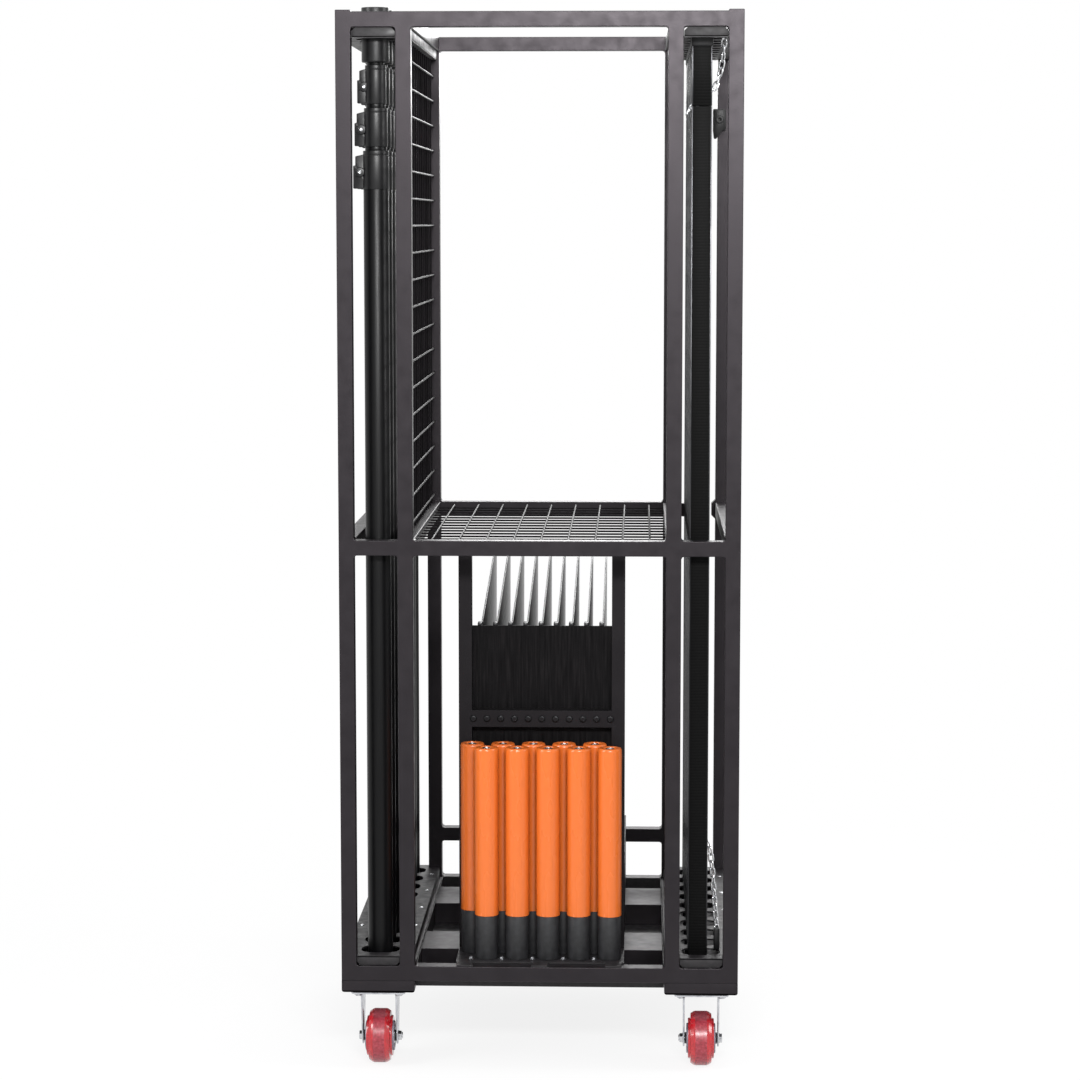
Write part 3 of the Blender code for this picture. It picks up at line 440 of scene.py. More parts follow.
def stained_ply():
    """Black-stained plywood: upright grain 2 to 4 mm wide that catches the light in streaks."""
    material, shader = finish("black_stained_plywood", "#0d0c0d", 0.0, 0.42, 0.05)
    fibres = grain(shader, 0.0035, 5, (1, 1, 0.05))
    shade_by(shader, fibres, ((0.30, "#080708"), (0.52, "#0f0e0f"), (0.74, "#1a1819")))
    rough_by(shader, fibres, 0.32, 0.56)
    raised_by(shader, fibres, 0.0003, 0.6)
    return material


def base_plate_coat():
    """Half-matt black coat on flat steel plate: it catches the light ground at a low angle."""
    material, shader = finish("half_matt_coated_plate", "#1d1c1e", 0.0, 0.34, 0.32)
    shade_by(shader, (0.080, 2), ((0.35, "#1a191b"), (0.65, "#212022")))
    return material


def new_object(name, data):
    """A new object in the scene."""
    item = bpy.data.objects.new(name, data)
    bpy.context.scene.collection.objects.link(item)
    return item


def soften(build, edge, clamp=False):
    """Joins flat facets, then rounds the sharp edges."""
    flat = math.radians(1)
    bmesh.ops.dissolve_limit(build, angle_limit=flat, verts=build.verts[:], edges=build.edges[:])
    sharp = [one for one in build.edges if one.calc_face_angle(0) > math.radians(50)]
    bmesh.ops.bevel(build, geom=sharp, offset=edge, segments=2, affect="EDGES", profile=0.5,
                    clamp_overlap=clamp)


def mesh_of(build, cut_angle=35):
    """Finishes a mesh: faces outward, round stretches smooth."""
    bmesh.ops.recalc_face_normals(build, faces=build.faces[:])
    mesh = bpy.data.meshes.new("shape")
    build.to_mesh(mesh)
    build.free()
    mesh.shade_smooth()
    mesh.set_sharp_from_angle(angle=math.radians(cut_angle))
    return mesh


def eased(corners, radius, closed=False, steps=2):
    """An outline with each corner rounded by up to this radius."""
    out = []
    last = len(corners) - 1
    for index, corner in enumerate(corners):
        if not closed and index in (0, last):
            out.append(tuple(corner))
            continue
        here = Vector(corner)
        back = Vector(corners[index - 1]) - here
        on = Vector(corners[(index + 1) % (last + 1)]) - here
        reach = min(radius, back.length / 2, on.length / 2)
        start, end = here + back.normalized() * reach, here + on.normalized() * reach
        for step in range(steps + 1):
            t = step / steps
            out.append(tuple(start * (1 - t) ** 2 + here * 2 * t * (1 - t) + end * t * t))
    return out


def turned(profile, sides, ease=0.0006, lying=False):
    """A turned solid from (radius, height) corners. Lying ones turn about X."""
    corners = eased(profile, ease)
    build = bmesh.new()
    rings = []
    for radius, height in corners:
        count = 1 if radius < 1e-7 else sides
        turns = [2 * math.pi * step / sides for step in range(count)]
        spots = [(radius * math.cos(t), radius * math.sin(t), height) for t in turns]
        rings.append([build.verts.new(spot) for spot in spots])
    pairs = list(zip(rings, rings[1:]))
    if len(rings[0]) > 1:
        pairs.append((rings[-1], rings[0]))
    for low, high in pairs:
        for step in range(sides):
            after = step + 1
            ring = [low[step % len(low)], low[after % len(low)]]
            ring += [high[after % len(high)], high[step % len(high)]]
            ring = list(dict.fromkeys(ring))
            if len(ring) > 2:
                build.faces.new(ring)
    if lying:
        bmesh.ops.rotate(build, matrix=Matrix.Rotation(math.pi / 2, 3, "Y"), verts=build.verts[:])
    return mesh_of(build)


def cylinder(radius, low, high):
    """The corners of a plain cylinder."""
    return [(0, low), (radius, low), (radius, high), (0, high)]


def set_at(profile, height, sign=1):
    """A profile's corners moved along the axis, and turned over where the sign is -1."""
    return [(radius, sign * (height + z)) for radius, z in profile]


def block(low, high, ease):
    """A box with rounded edges."""
    build = bmesh.new()
    low, high = Vector(low), Vector(high)
    place = Matrix.Translation((low + high) / 2) @ Matrix.Diagonal((*(high - low), 1))
    bmesh.ops.create_cube(build, size=1, matrix=place)
    bmesh.ops.bevel(build, geom=build.edges[:], offset=ease, segments=2, affect="EDGES", profile=0.5)
    return mesh_of(build)


def rod(points, radius, sides, closed=False):
    """A round wire along points."""
    build = bmesh.new()
    spots = [Vector(point) for point in points]
    rings = []
    side = None
    for index, spot in enumerate(spots):
        before = spots[index - 1] if closed or index else spot
        after = spots[(index + 1) % len(spots)] if closed or index < len(spots) - 1 else spot
        along = (after - before).normalized()
        if side is None:
            side = along.orthogonal().normalized()
        side = (side - along * side.dot(along)).normalized()
        other = along.cross(side)
        ring = []
        for step in range(sides):
            turn = 2 * math.pi * step / sides
            ring.append(build.verts.new(spot + radius * (side * math.cos(turn) + other * math.sin(turn))))
        rings.append(ring)
    pairs = list(zip(rings, rings[1:])) + ([(rings[-1], rings[0])] if closed else [])
    for first, second in pairs:
        for step in range(sides):
            after = (step + 1) % sides
            build.faces.new([first[step], first[after], second[after], second[step]])
    if not closed:
        build.faces.new(rings[0])
        build.faces.new(rings[-1])
    return mesh_of(build, 50)


def cut_sheet(outline, holes, low, high, axis="Z", ease=0.0):
    """A flat outline with holes, made solid between two places on an axis.

    Corners are (x, y) for Z, (x, z) for Y and (y, z) for X.
    """
    curve = bpy.data.curves.new("outline", "CURVE")
    curve.dimensions = "2D"
    curve.fill_mode = "BOTH"
    for loop in [outline, *holes]:
        line = curve.splines.new("POLY")
        line.points.add(len(loop) - 1)
        for point, (u, v) in zip(line.points, loop):
            point.co = (u, v, 0, 1)
        line.use_cyclic_u = True
    curve.extrude = (high - low) / 2
    item = new_object("outline", curve)
    flat = bpy.data.meshes.new_from_object(item.evaluated_get(bpy.context.evaluated_depsgraph_get()))
    bpy.data.objects.remove(item)
    build = bmesh.new()
    build.from_mesh(flat)
    bmesh.ops.remove_doubles(build, verts=build.verts[:], dist=1e-6)
    for vert in build.verts:
        u, v, w = vert.co
        w += (low + high) / 2
        vert.co = {"Z": (u, v, w), "Y": (u, w, v), "X": (w, u, v)}[axis]
    if ease:
        soften(build, ease)
    return mesh_of(build)


def shifted(mesh, offset):
    """The mesh moved by an offset."""
    mesh.transform(Matrix.Translation(offset))
    return mesh


def pointing_forward(profile, spot, sides, ease=0.0006):
    """A small turned part that points at the front."""
    mesh = turned(profile, sides, ease)
    mesh.transform(Matrix.Rotation(math.radians(90), 4, "X"))
    return shifted(mesh, spot)


def fused(parts):
    """One mesh from (mesh, material) parts, each keeping its own material."""
    build = bmesh.new()
    finishes = []
    for mesh, material in parts:
        if material not in finishes:
            finishes.append(material)
        first = len(build.faces)
        build.from_mesh(mesh)
        build.faces.ensure_lookup_table()
        for face in build.faces[first:]:
            face.material_index = finishes.index(material)
    whole = bpy.data.meshes.new("fused")
    build.to_mesh(whole)
    build.free()
    for material in finishes:
        whole.materials.append(material)
    return whole


def put(name, mesh, body, at=(0, 0, 0), stands_for=()):
    """Places a piece, makes it ride on its body and, where it does, stand for CAD nodes."""
    item = new_object(name, mesh)
    item.location = at
    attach(item, body)
    if stands_for:
        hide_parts(*stands_for)
    return item


def edged_copy(node, material, edge):
    """The CAD node's own shape with its sharp edges rounded as the real tube or sheet has them."""
    source = frame["nodes"][node]
    build = bmesh.new()
    build.from_mesh(source.data)
    bmesh.ops.remove_doubles(build, verts=build.verts[:], dist=1e-6)
    soften(build, edge, True)
    mesh = mesh_of(build, 60)
    mesh.materials.append(material)
    item = put(node + "_finished", mesh, source["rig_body"], stands_for=[node])
    item.modifiers.new("flat_faces", "WEIGHTED_NORMAL")


def middle(node):
    """The middle of a CAD node's box."""
    low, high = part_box(node)
    return (low + high) / 2


def dress_steelwork(coat, worn, rack):
    """Every tube and channel, the well tray and the rack's goalpost keep their CAD shape, with rounded
    edges.
    """
    names = ["front_frame", "rear_frame", "front_cross_channel", "rear_cross_channel", "well_tray"]
    for side in ("left", "right"):
        for line in ("inner", "outer"):
            names += [f"{side}_{line}_{level}_rail" for level in ("bottom", "mid", "top")]
    for name in names:
        edge = TUBE_EDGE if "rail" in name or "frame" in name else SHEET_EDGE
        edged_copy(name, worn if name == "well_tray" else coat, edge)
    edged_copy("rack_goalpost", rack, TUBE_EDGE)


def slot_y(index):
    """Depth of a slot, counted from the front."""
    return (index - (SLOT_COUNT - 1) / 2) * SLOT_PITCH


def rounded_slot(y):
    """One slot of a slotted plate, its ends nearly half round."""
    long, wide = SLOT_LENGTH / 2, SLOT_WIDTH / 2
    corners = [(-long, y - wide), (long, y - wide), (long, y + wide), (-long, y + wide)]
    return eased(corners, SLOT_CORNER, True, 6)


def make_slot_plates(worn):
    """Four folded plates with ten round-ended slots each. The upper ones are turned over."""
    for side in ("left", "right"):
        for level in ("lower", "upper"):
            node = f"{side}_{level}_slot_plate"
            low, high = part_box(node)
            centre = middle(node)
            half_x = (high.x - low.x) / 2
            tab_y = (high.y - low.y) / 2
            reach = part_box(f"{side}_inner_bottom_rail")[1].y
            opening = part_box(f"{side}_outer_bottom_rail")
            tab_x = min(abs(opening[0].x), abs(opening[1].x)) - abs(centre.x) - SHEET / 6
            drop = high.z - low.z
            quarter = [(half_x, reach), (tab_x, reach), (tab_x, tab_y)]
            outline = quarter + [(-x, y) for x, y in reversed(quarter)]
            outline += [(-x, -y) for x, y in quarter] + [(x, -y) for x, y in reversed(quarter)]
            slots = [rounded_slot(slot_y(index)) for index in range(SLOT_COUNT)]
            parts = [cut_sheet(outline, slots, -SHEET, 0)]
            for sign in (-1, 1):
                x0, x1 = sorted((sign * half_x, sign * (half_x - SHEET)))
                parts.append(block((x0, -reach, -drop), (x1, reach, -SHEET_EDGE), SHEET_EDGE))
                end = [(-tab_x, -SHEET_EDGE), (tab_x, -SHEET_EDGE), (tab_x, TAB_CHAMFER - drop)]
                end += [(tab_x - TAB_CHAMFER, -drop), (TAB_CHAMFER - tab_x, -drop)]
                end.append((-tab_x, TAB_CHAMFER - drop))
                y0, y1 = sorted((sign * tab_y, sign * (tab_y - SHEET)))
                parts.append(cut_sheet(end, [], y0, y1, "Y", SHEET_EDGE))
            mesh = fused([(part, worn) for part in parts])
            top = high.z
            if level == "upper":
                mesh.transform(Matrix.Rotation(math.pi, 4, "Y"))
                top = low.z
            put(node + "_pressed", mesh, "cart", (centre.x, 0, top), [node])


def wires(low, high, first=None):
    """Wire places between two limits, centred or from a first one."""
    if first is None:
        count = int((high - low) / NET_PITCH)
        first = (low + high) / 2 - (count - 1) * NET_PITCH / 2
    places = []
    while first < high - WIRE / 2:
        places.append(first)
        first += NET_PITCH
    return places


def put_net(name, lines, coat, node):
    """One welded net made of straight wires."""
    mesh = fused([(rod(line, WIRE / 2, 6), coat) for line in lines])
    put(name, mesh, "cart", stands_for=[node])


def make_nets(coat):
    """Two wire walls and the wire shelf: round wires crossed and spot-welded at 50.8 mm."""
    lift = WIRE / 2 - WELD_SINK / 2
    for side, sign in (("left", -1), ("right", 1)):
        low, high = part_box(f"{side}_wire_wall")
        x = (low.x + high.x) / 2
        inner, outer = x - sign * lift, x + sign * lift
        lines = [((outer, y, low.z), (outer, y, high.z)) for y in wires(low.y, high.y)]
        levels = wires(low.z, high.z, low.z + NET_PITCH / 3)
        lines += [((inner, low.y, z), (inner, high.y, z)) for z in levels]
        put_net(f"{side}_welded_wire_wall", lines, coat, f"{side}_wire_wall")
    low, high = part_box("wire_shelf")
    z = (low.z + high.z) / 2
    lines = [((x, low.y, z + lift), (x, high.y, z + lift)) for x in wires(low.x, high.x)]
    lines += [((low.x, y, z - lift), (high.x, y, z - lift)) for y in wires(low.y, high.y)]
    put_net("welded_wire_shelf", lines, coat, "wire_shelf")


def knob_parts(foot, radius, reach, nylon, steel):
    """One wing knob: its housing on the collar, the round ears and the screw through them."""
    top = foot + COLLAR_HEIGHT
    stem_z = foot + COLLAR_HEIGHT / 2
    half = KNOB_THICKNESS / 2
    cheek = half + KNOB_CHEEK
    inner = -radius / 2
    step = -reach + 0.004
    housing = [(-reach, foot + 0.001), (inner, foot + 0.001), (inner, top - 0.004)]
    housing += [(step, top - 0.010), (step, stem_z + 0.008), (-reach, stem_z + 0.008)]
    housing = eased(housing, 0.0015, True)
    rim = KNOB_EAR - 0.001
    ear = [(0, -cheek), (rim, -cheek), (KNOB_EAR, -half), (KNOB_EAR, half), (rim, cheek), (0, cheek)]
    x, z = KNOB_PIVOT[0] - reach, stem_z - KNOB_PIVOT[1]
    return [(cut_sheet(housing, [], -half, half, "Y", 0.0008), nylon),
            (pointing_forward(ear, (x, 0, z), 28, 0.001), nylon),
            (pointing_forward(KNOB_SCREW, (x, 0.0001 - cheek, z), 20, 0.0003), steel)]


def upright_mesh(tube, nylon, steel):
    """A pushed-together upright: tube, three clamp collars with wing knobs, and its cap."""
    parts = [(turned(cylinder(TUBE_RADIUS, 0, COLLAR_FOOT), 48), tube)]
    foot = COLLAR_FOOT
    for radius, stage, reach in zip(COLLAR_RADII, STAGE_RADII, KNOB_REACH):
        top = foot + COLLAR_HEIGHT
        neck = radius - COLLAR_GROOVE
        collar = [(0, foot), (radius, foot), (radius, top - 0.009), (neck, top - 0.0085)]
        collar += [(neck, top - 0.0075), (radius, top - 0.007), (radius, top), (0, top)]
        parts.append((turned(collar, 48, 0.0008), nylon))
        parts.append((turned(cylinder(stage, top, foot + COLLAR_STEP), 48), tube))
        parts += knob_parts(foot, radius, reach, nylon, steel)
        foot += COLLAR_STEP
    parts.append((turned(set_at(UPRIGHT_CAP, UPRIGHT_LENGTH), 48, 0.001), nylon))
    return fused(parts)


def make_uprights(tube, nylon, steel):
    """Ten uprights in the left bay. The nine behind the front one and their sill share a CAD node."""
    mesh = upright_mesh(tube, nylon, steel)
    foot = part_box("front_upright")[0].z
    x = middle("left_lower_slot_plate").x
    for index in range(SLOT_COUNT):
        node = "left_sill_with_uprights" if index else "front_upright"
        put(f"upright_{index + 1:02d}", mesh, "cart", (x, slot_y(index), foot), [node])


def crossbar_mesh(batten, aluminium, nylon, steel):
    """A ribbed batten between smoked aluminium edges, with a moulded foot and a hook end."""
    half_w, half_t = BAR_WIDTH / 2, BAR_THICKNESS / 2
    hook = BAR_LENGTH - BAR_HOOK
    parts = []
    for low, high in ((BAR_FOOT, BAR_JOINT_Z - BAR_JOINT_GAP), (BAR_JOINT_Z + BAR_JOINT_GAP, hook)):
        inner = half_w - BAR_EDGE_STRIP
        parts.append((block((-inner, -half_t, low), (inner, half_t, high), 0.0008), batten))
        for sign in (-1, 1):
            x0, x1 = sorted((sign * half_w, sign * (inner - 0.0005)))
            strip = block((x0, -half_t + 0.0015, low), (x1, half_t - 0.0015, high), 0.0004)
            parts.append((strip, aluminium))
    for grow, low, high, ease in ((BAR_TIP / 2, 0, BAR_FOOT, 0.002), (BAR_TIP, hook, BAR_LENGTH, 0.003)):
        x, y = half_w + grow, half_t + grow
        parts.append((block((-x, -y, low), (x, y, high), ease), nylon))
    spot = (0, -half_t - BAR_TIP / 2, BAR_FOOT / 2)
    parts.append((pointing_forward(FOOT_STUD, spot, 20), steel))
    return fused(parts)


def make_crossbars(batten, aluminium, nylon, steel):
    """Ten crossbars in the right bay. The front one lifts out."""
    mesh = crossbar_mesh(batten, aluminium, nylon, steel)
    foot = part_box("front_crossbar")[0].z
    x = middle("front_crossbar").x
    for index in range(SLOT_COUNT):
        node = "right_sill_with_crossbars" if index else "front_crossbar"
        body = "cart" if index else "front_crossbar_body"
        put(f"crossbar_{index + 1:02d}", mesh, body, (x, slot_y(index), foot), [node])


def make_sills(coat):
    """The folded pans under the two bays, with their caster pads, without the load they carry."""
    for side, node in (("left", "left_sill_with_uprights"), ("right", "right_sill_with_crossbars")):
        low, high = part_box(node)
        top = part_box(f"{side}_outer_bottom_rail")[0].z - GAP
        floor = top - SILL_DEPTH
        outline = [(low.x, top), (low.x, floor), (high.x, floor), (high.x, top)]
        outline = eased(outline, SILL_BEND, False, 4)
        inner = [(high.x - SHEET, top), (high.x - SHEET, floor + SHEET)]
        inner += [(low.x + SHEET, floor + SHEET), (low.x + SHEET, top)]
        parts = [cut_sheet(outline + inner, [], low.y, high.y, "Y")]
        for y0, y1 in ((low.y, low.y + SHEET), (high.y - SHEET, high.y)):
            parts.append(cut_sheet(outline, [], y0, y1, "Y", SHEET_EDGE))
        for plate in (f"front_{side}_caster_bracket", f"rear_{side}_caster_plate"):
            a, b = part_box(plate)
            parts.append(block((a.x, a.y, low.z), (b.x, b.y, floor + OVERLAP), SHEET_EDGE))
        put(f"{side}_folded_sill", fused([(part, coat) for part in parts]), "cart", stands_for=[node])


def make_pins(vinyl, foot_coat, steel, shade):
    """Ten base pins: coated foot, orange sleeve with a rolled lip, and a socket screw in the top."""
    lip = PIN_LENGTH - SLEEVE_LIP
    floor = PIN_LENGTH - PIN_RECESS_DEPTH
    foot = cylinder(PIN_FOOT_RADIUS, 0, PIN_FOOT)
    sleeve = [(PIN_FOOT_RADIUS - 0.001, PIN_FOOT), (PIN_RADIUS, PIN_FOOT + 0.0004), (PIN_RADIUS, lip)]
    sleeve += [(PIN_RADIUS - 0.0018, PIN_LENGTH), (PIN_RECESS, PIN_LENGTH), (PIN_RECESS, floor)]
    sleeve.append((0, floor))
    parts = [(turned(foot, 40, 0.001), foot_coat), (turned(sleeve, 40, 0.0012), vinyl)]
    # Painted shade: the washer on the recess floor wears the near-black screw finish, so the recess round
    # the screw reads dark
    parts.append((turned(cylinder(PIN_WASHER, floor, floor + 0.001), 24, 0.0003), shade))
    parts.append((turned(set_at(PIN_SCREW, PIN_LENGTH), 24), steel))
    mesh = fused(parts)
    for index in range(PIN_COUNT):
        node = f"base_pin_{index + 1:02d}"
        at = (*middle(node).xy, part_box(node)[0].z)
        put(f"orange_base_pin_{index + 1:02d}", mesh, node + "_body", at, [node])


def hex_bolt(radius, height, washer):
    """A hexagon head hanging under z = 0, with a washer above it."""
    head = [(0, -height), (radius * 0.9, -height), (radius, -height * 0.75)]
    head += [(radius, -washer), (0, -washer)]
    return turned(head, 6, 0), turned(cylinder(radius * 1.15, -washer, 0), 24, 0.0002)


def caster_plate(zinc, steel):
    """Top plate with round corners and four bolts."""
    half = PLATE_HALF
    low = PLATE_TOP - PLATE_THICK
    square = eased([(-half, -half), (half, -half), (half, half), (-half, half)], PLATE_CORNER, True, 4)
    parts = [(cut_sheet(square, [], low, PLATE_TOP, "Z", SHEET_EDGE), zinc)]
    for dx in (-BOLT_SPREAD, BOLT_SPREAD):
        for dy in (-BOLT_SPREAD, BOLT_SPREAD):
            for one in hex_bolt(*BOLT_SIZE):
                parts.append((shifted(one, (dx, dy, low)), steel))
    return parts


def fork_legs(top, top_y, axle_y, zinc):
    """Two pressed legs that narrow to round feet."""
    outline = [(top_y + FORK_WIDTH / 2, top), (top_y - FORK_WIDTH / 2, top)]
    start, end = FORK_FOOT_ARC
    for step in range(13):
        turn = math.radians(start + (end - start) * step / 12)
        outline.append((axle_y + FORK_FOOT * math.cos(turn), WHEEL_RADIUS + FORK_FOOT * math.sin(turn)))
    parts = []
    for side in (-1, 1):
        x0, x1 = sorted((side * FORK_HALF, side * (FORK_HALF + FORK_SHEET)))
        parts.append((cut_sheet(outline, [], x0, x1, "X", 0.0008), zinc))
    return parts


def wheel_parts(tread, gloss, core, steel, bush):
    """Crowned tread, a moulded lip and a core that stand out in steps, a bearing cup and a bush."""
    r = WHEEL_RADIUS
    t = TREAD_HALF
    band = [(TREAD_ROOT, -TREAD_BAND), (r, -TREAD_BAND), (r, TREAD_BAND), (TREAD_ROOT, TREAD_BAND)]
    shoulder = [(TREAD_ROOT, TREAD_BAND), (r, TREAD_BAND), (r - 0.0010, t - 0.0065)]
    shoulder += [(r - 0.0045, t - 0.0012), (LIP_RADIUS - 0.0005, t), (TREAD_ROOT, t - 0.003)]
    lip = [(LIP_ROOT, t - 0.004), (LIP_RADIUS, t - 0.004), (LIP_RADIUS - 0.0014, LIP_HALF)]
    lip.append((LIP_ROOT, LIP_HALF - 0.001))
    disc = [(BORE, t - 0.003), (CORE_RADIUS, t - 0.003), (CORE_RADIUS - 0.0007, CORE_HALF)]
    disc += [(CORE_STEP, CORE_HALF), (CORE_WELL, CORE_HALF - 0.003), (BORE, CORE_HALF - 0.003)]
    cup = [(BORE, t), (CUP_RADIUS, t), (CUP_RADIUS - 0.001, CORE_HALF), (BORE, CORE_HALF)]
    hub = [(BORE, t), (BUSH_RADIUS, t), (BUSH_RADIUS - 0.0005, HUB_HALF), (BORE, HUB_HALF)]
    parts = [(turned(band, 72, 0, True), tread)]
    for sign in (-1, 1):
        parts.append((turned(set_at(shoulder, 0, sign), 72, 0, True), gloss))
        for profile, material in ((lip, gloss), (disc, core), (cup, steel), (hub, bush)):
            parts.append((turned(set_at(profile, 0, sign), 56, 0.0008, True), material))
    return parts


def axle_parts(side, steel):
    """Bolt through the fork: hexagon head and washer outside, lock nut and thread end inside."""
    start = FORK_HALF + FORK_SHEET
    parts = [(turned(cylinder(AXLE_RADIUS, -start, start), 24, 0, True), steel)]
    for profile, sign in ((AXLE_HEAD, side), (AXLE_NUT, -side)):
        parts.append((turned(set_at(profile, start, sign), 6, 0, True), steel))
    return parts


def put_wheel(place, wheel, bolt, body):
    """A wheel on its own body, and its bolt on the body that holds the fork."""
    at = middle(f"{place}_wheel")
    put(f"{place}_red_wheel", wheel, f"{place}_wheel_body", at, [f"{place}_wheel"])
    put(f"{place}_axle_bolt", bolt, body, at, [f"{place}_axle"])


def make_casters(zinc, steel, tread, gloss, core, bush):
    """Two rigid casters in front, two swivel casters behind, each wheel on its own body."""
    wheel = fused(wheel_parts(tread, gloss, core, steel, bush))
    race = PLATE_TOP - PLATE_THICK
    low = race - RACE_DEPTH
    top = low - GAP
    wide = FORK_HALF + FORK_SHEET
    for side, word in ((-1, "left"), (1, "right")):
        bolt = fused(axle_parts(side, steel))
        node = f"front_{word}_caster_bracket"
        parts = caster_plate(zinc, steel) + fork_legs(race, 0, 0, zinc)
        put(f"front_{word}_rigid_bracket", fused(parts), "cart", (*middle(node).xy, 0), [node])
        put_wheel(f"front_{word}", wheel, bolt, "cart")

        node = f"rear_{word}_caster_plate"
        at = (*middle(node).xy, 0)
        parts = caster_plate(zinc, steel) + [(turned(set_at(RACE_CUP, low), 56, 0.001), zinc)]
        parts.append((turned(set_at(KINGPIN, low), 32, 0.0008), steel))
        put(f"rear_{word}_swivel_plate", fused(parts), "cart", at, [node])
        parts = [(turned(set_at(FORK_RING, top), 56, 0.001), zinc)]
        parts.append((turned(set_at(RACE_SEAL, top), 56, 0.0002), bush))
        crown_low = (-wide, -TRAIL / 2 - FORK_WIDTH / 2, top - FORK_DEPTH + GAP)
        crown_high = (wide, FORK_CROWN_FRONT, top - 2 * GAP)
        parts.append((block(crown_low, crown_high, 0.0012), zinc))
        parts += fork_legs(top - 2 * GAP, -TRAIL / 2, -TRAIL, zinc)
        body = f"rear_{word}_swivel_body"
        put(f"rear_{word}_trailing_fork", fused(parts), body, at, [f"rear_{word}_fork"])
        put_wheel(f"rear_{word}", wheel, bolt, body)


def make_rack(coat, worn, ply, plate_coat, steel):
    """Floor tray with its side walls, nine base plates on edge, the panel, and the bar's screws."""
    node = "rack_tray_with_base_plates"
    low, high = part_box(node)
    half = high.x
    floor_top = low.z + SHEET
    front_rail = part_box("left_inner_bottom_rail")[0].y
    outline = [(half, high.y), (-half, high.y), (-half, front_rail)]
    for x in RACK_TONGUES:
        x0, x1 = x - TONGUE_HALF, x + TONGUE_HALF
        outline += [(x0, front_rail), (x0, low.y), (x1, low.y), (x1, front_rail)]
    outline.append((half, front_rail))
    parts = [(cut_sheet(outline, [], low.z, floor_top), worn)]
    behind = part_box("rack_panel")[1].y + GAP
    foot = floor_top - OVERLAP
    for sign in (-1, 1):
        x0, x1 = sorted((sign * half, sign * (half - SHEET)))
        parts.append((block((x0, behind, foot), (x1, high.y, RACK_WALL_TOP), SHEET_EDGE), coat))
    put("rack_floor_tray", fused(parts), "cart", stands_for=[node])
    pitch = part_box("base_pin_02")[0].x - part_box("base_pin_01")[0].x
    side = [(behind, foot), (high.y, foot), (high.y, high.z), (behind, BASE_PLATE_FRONT_TOP)]
    side = eased(side, BASE_PLATE_CORNER, True, 4)
    plate = cut_sheet(side, [], -BASE_PLATE_HALF, BASE_PLATE_HALF, "X", SHEET_EDGE)
    plate = fused([(plate, plate_coat)])
    lug_low = (-LUG_SIDE, behind + OVERLAP, LUG_LOW)
    lug_high = (BASE_PLATE_HALF, behind + LUG_REACH, LUG_TOP)
    lug = fused([(block(lug_low, lug_high, 0.002), plate_coat)])
    for index in range(BASE_PLATES):
        x = (index - (BASE_PLATES - 1) / 2) * pitch
        put(f"base_plate_{index + 1}", plate, "cart", (x, 0, 0), [node])
        put(f"base_plate_lug_{index + 1}", lug, "cart", (x, 0, 0), [node])
    edged_copy("rack_panel", ply, SHEET_EDGE)
    bar_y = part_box("rack_goalpost")[0].y + BAR_SCREW_SINK
    heads = []
    for index in range(BAR_SCREWS):
        x = (index / (BAR_SCREWS - 1) - 0.5) * BASE_PLATES * pitch
        heads.append((pointing_forward(BAR_SCREW, (x, bar_y, BAR_SCREW_Z), 24, 0.0003), steel))
    put("rack_bar_screws", fused(heads), "cart")


def make_floor_bolts(steel):
    """Domed nuts on the rack floor between the front pins."""
    nuts = []
    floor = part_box("base_pin_01")[0].z
    y = middle("base_pin_02").y - NUT_SETBACK
    for index in range(0, PIN_COUNT, 2):
        at = (middle(f"base_pin_{index + 1:02d}").x, y, floor)
        nuts.append((shifted(turned(FLOOR_NUT, 24), at), steel))
    put("rack_floor_nuts", fused(nuts), "cart")


def chain_link():
    """One oval link of round wire, lying in the XZ plane about its own middle."""
    bend = LINK_WIDTH / 2 - LINK_WIRE / 2
    straight = LINK_LENGTH / 2 - LINK_WIRE / 2 - bend
    points = []
    for start, z in ((0, straight), (180, -straight)):
        for step in range(7):
            turn = math.radians(start + 180 * step / 6)
            points.append((bend * math.cos(turn), 0, z + bend * math.sin(turn)))
    return rod(points, LINK_WIRE / 2, 8, True)


def chain(points, steel):
    """Links threaded along a hanging curve, each a quarter turn from the last."""
    spots = curve_through(points)
    reach = LINK_LENGTH - 2 * LINK_WIRE
    lengths = [(b - a).length for a, b in zip(spots, spots[1:])]
    parts = []
    for index in range(int(sum(lengths) / reach)):
        distance = (index + 0.5) * reach
        step = 0
        while distance > lengths[step] and step < len(lengths) - 1:
            distance -= lengths[step]
            step += 1
        along = (spots[step + 1] - spots[step]).normalized()
        turn = Vector((0, 0, 1)).rotation_difference(along).to_matrix().to_4x4()
        turn = turn @ Matrix.Rotation(math.pi / 2 * (index % 2), 4, "Z")
        link = chain_link()
        link.transform(Matrix.Translation(spots[step] + along * distance) @ turn)
        parts.append((link, steel))
    return parts


def curve_through(points, steps=8):
    """A smooth run of points through the given ones."""
    spots = [Vector(point) for point in points]
    ends = [spots[0] * 2 - spots[1], *spots, spots[-1] * 2 - spots[-2]]
    out = []
    for p0, p1, p2, p3 in zip(ends, ends[1:], ends[2:], ends[3:]):
        for step in range(steps):
            t = step / steps
            out.append(0.5 * (2 * p1 + (p2 - p0) * t + (2 * p0 - 5 * p1 + 4 * p2 - p3) * t * t
                              + (3 * p1 - p0 - 3 * p2 + p3) * t ** 3))
    return out + [spots[-1]]


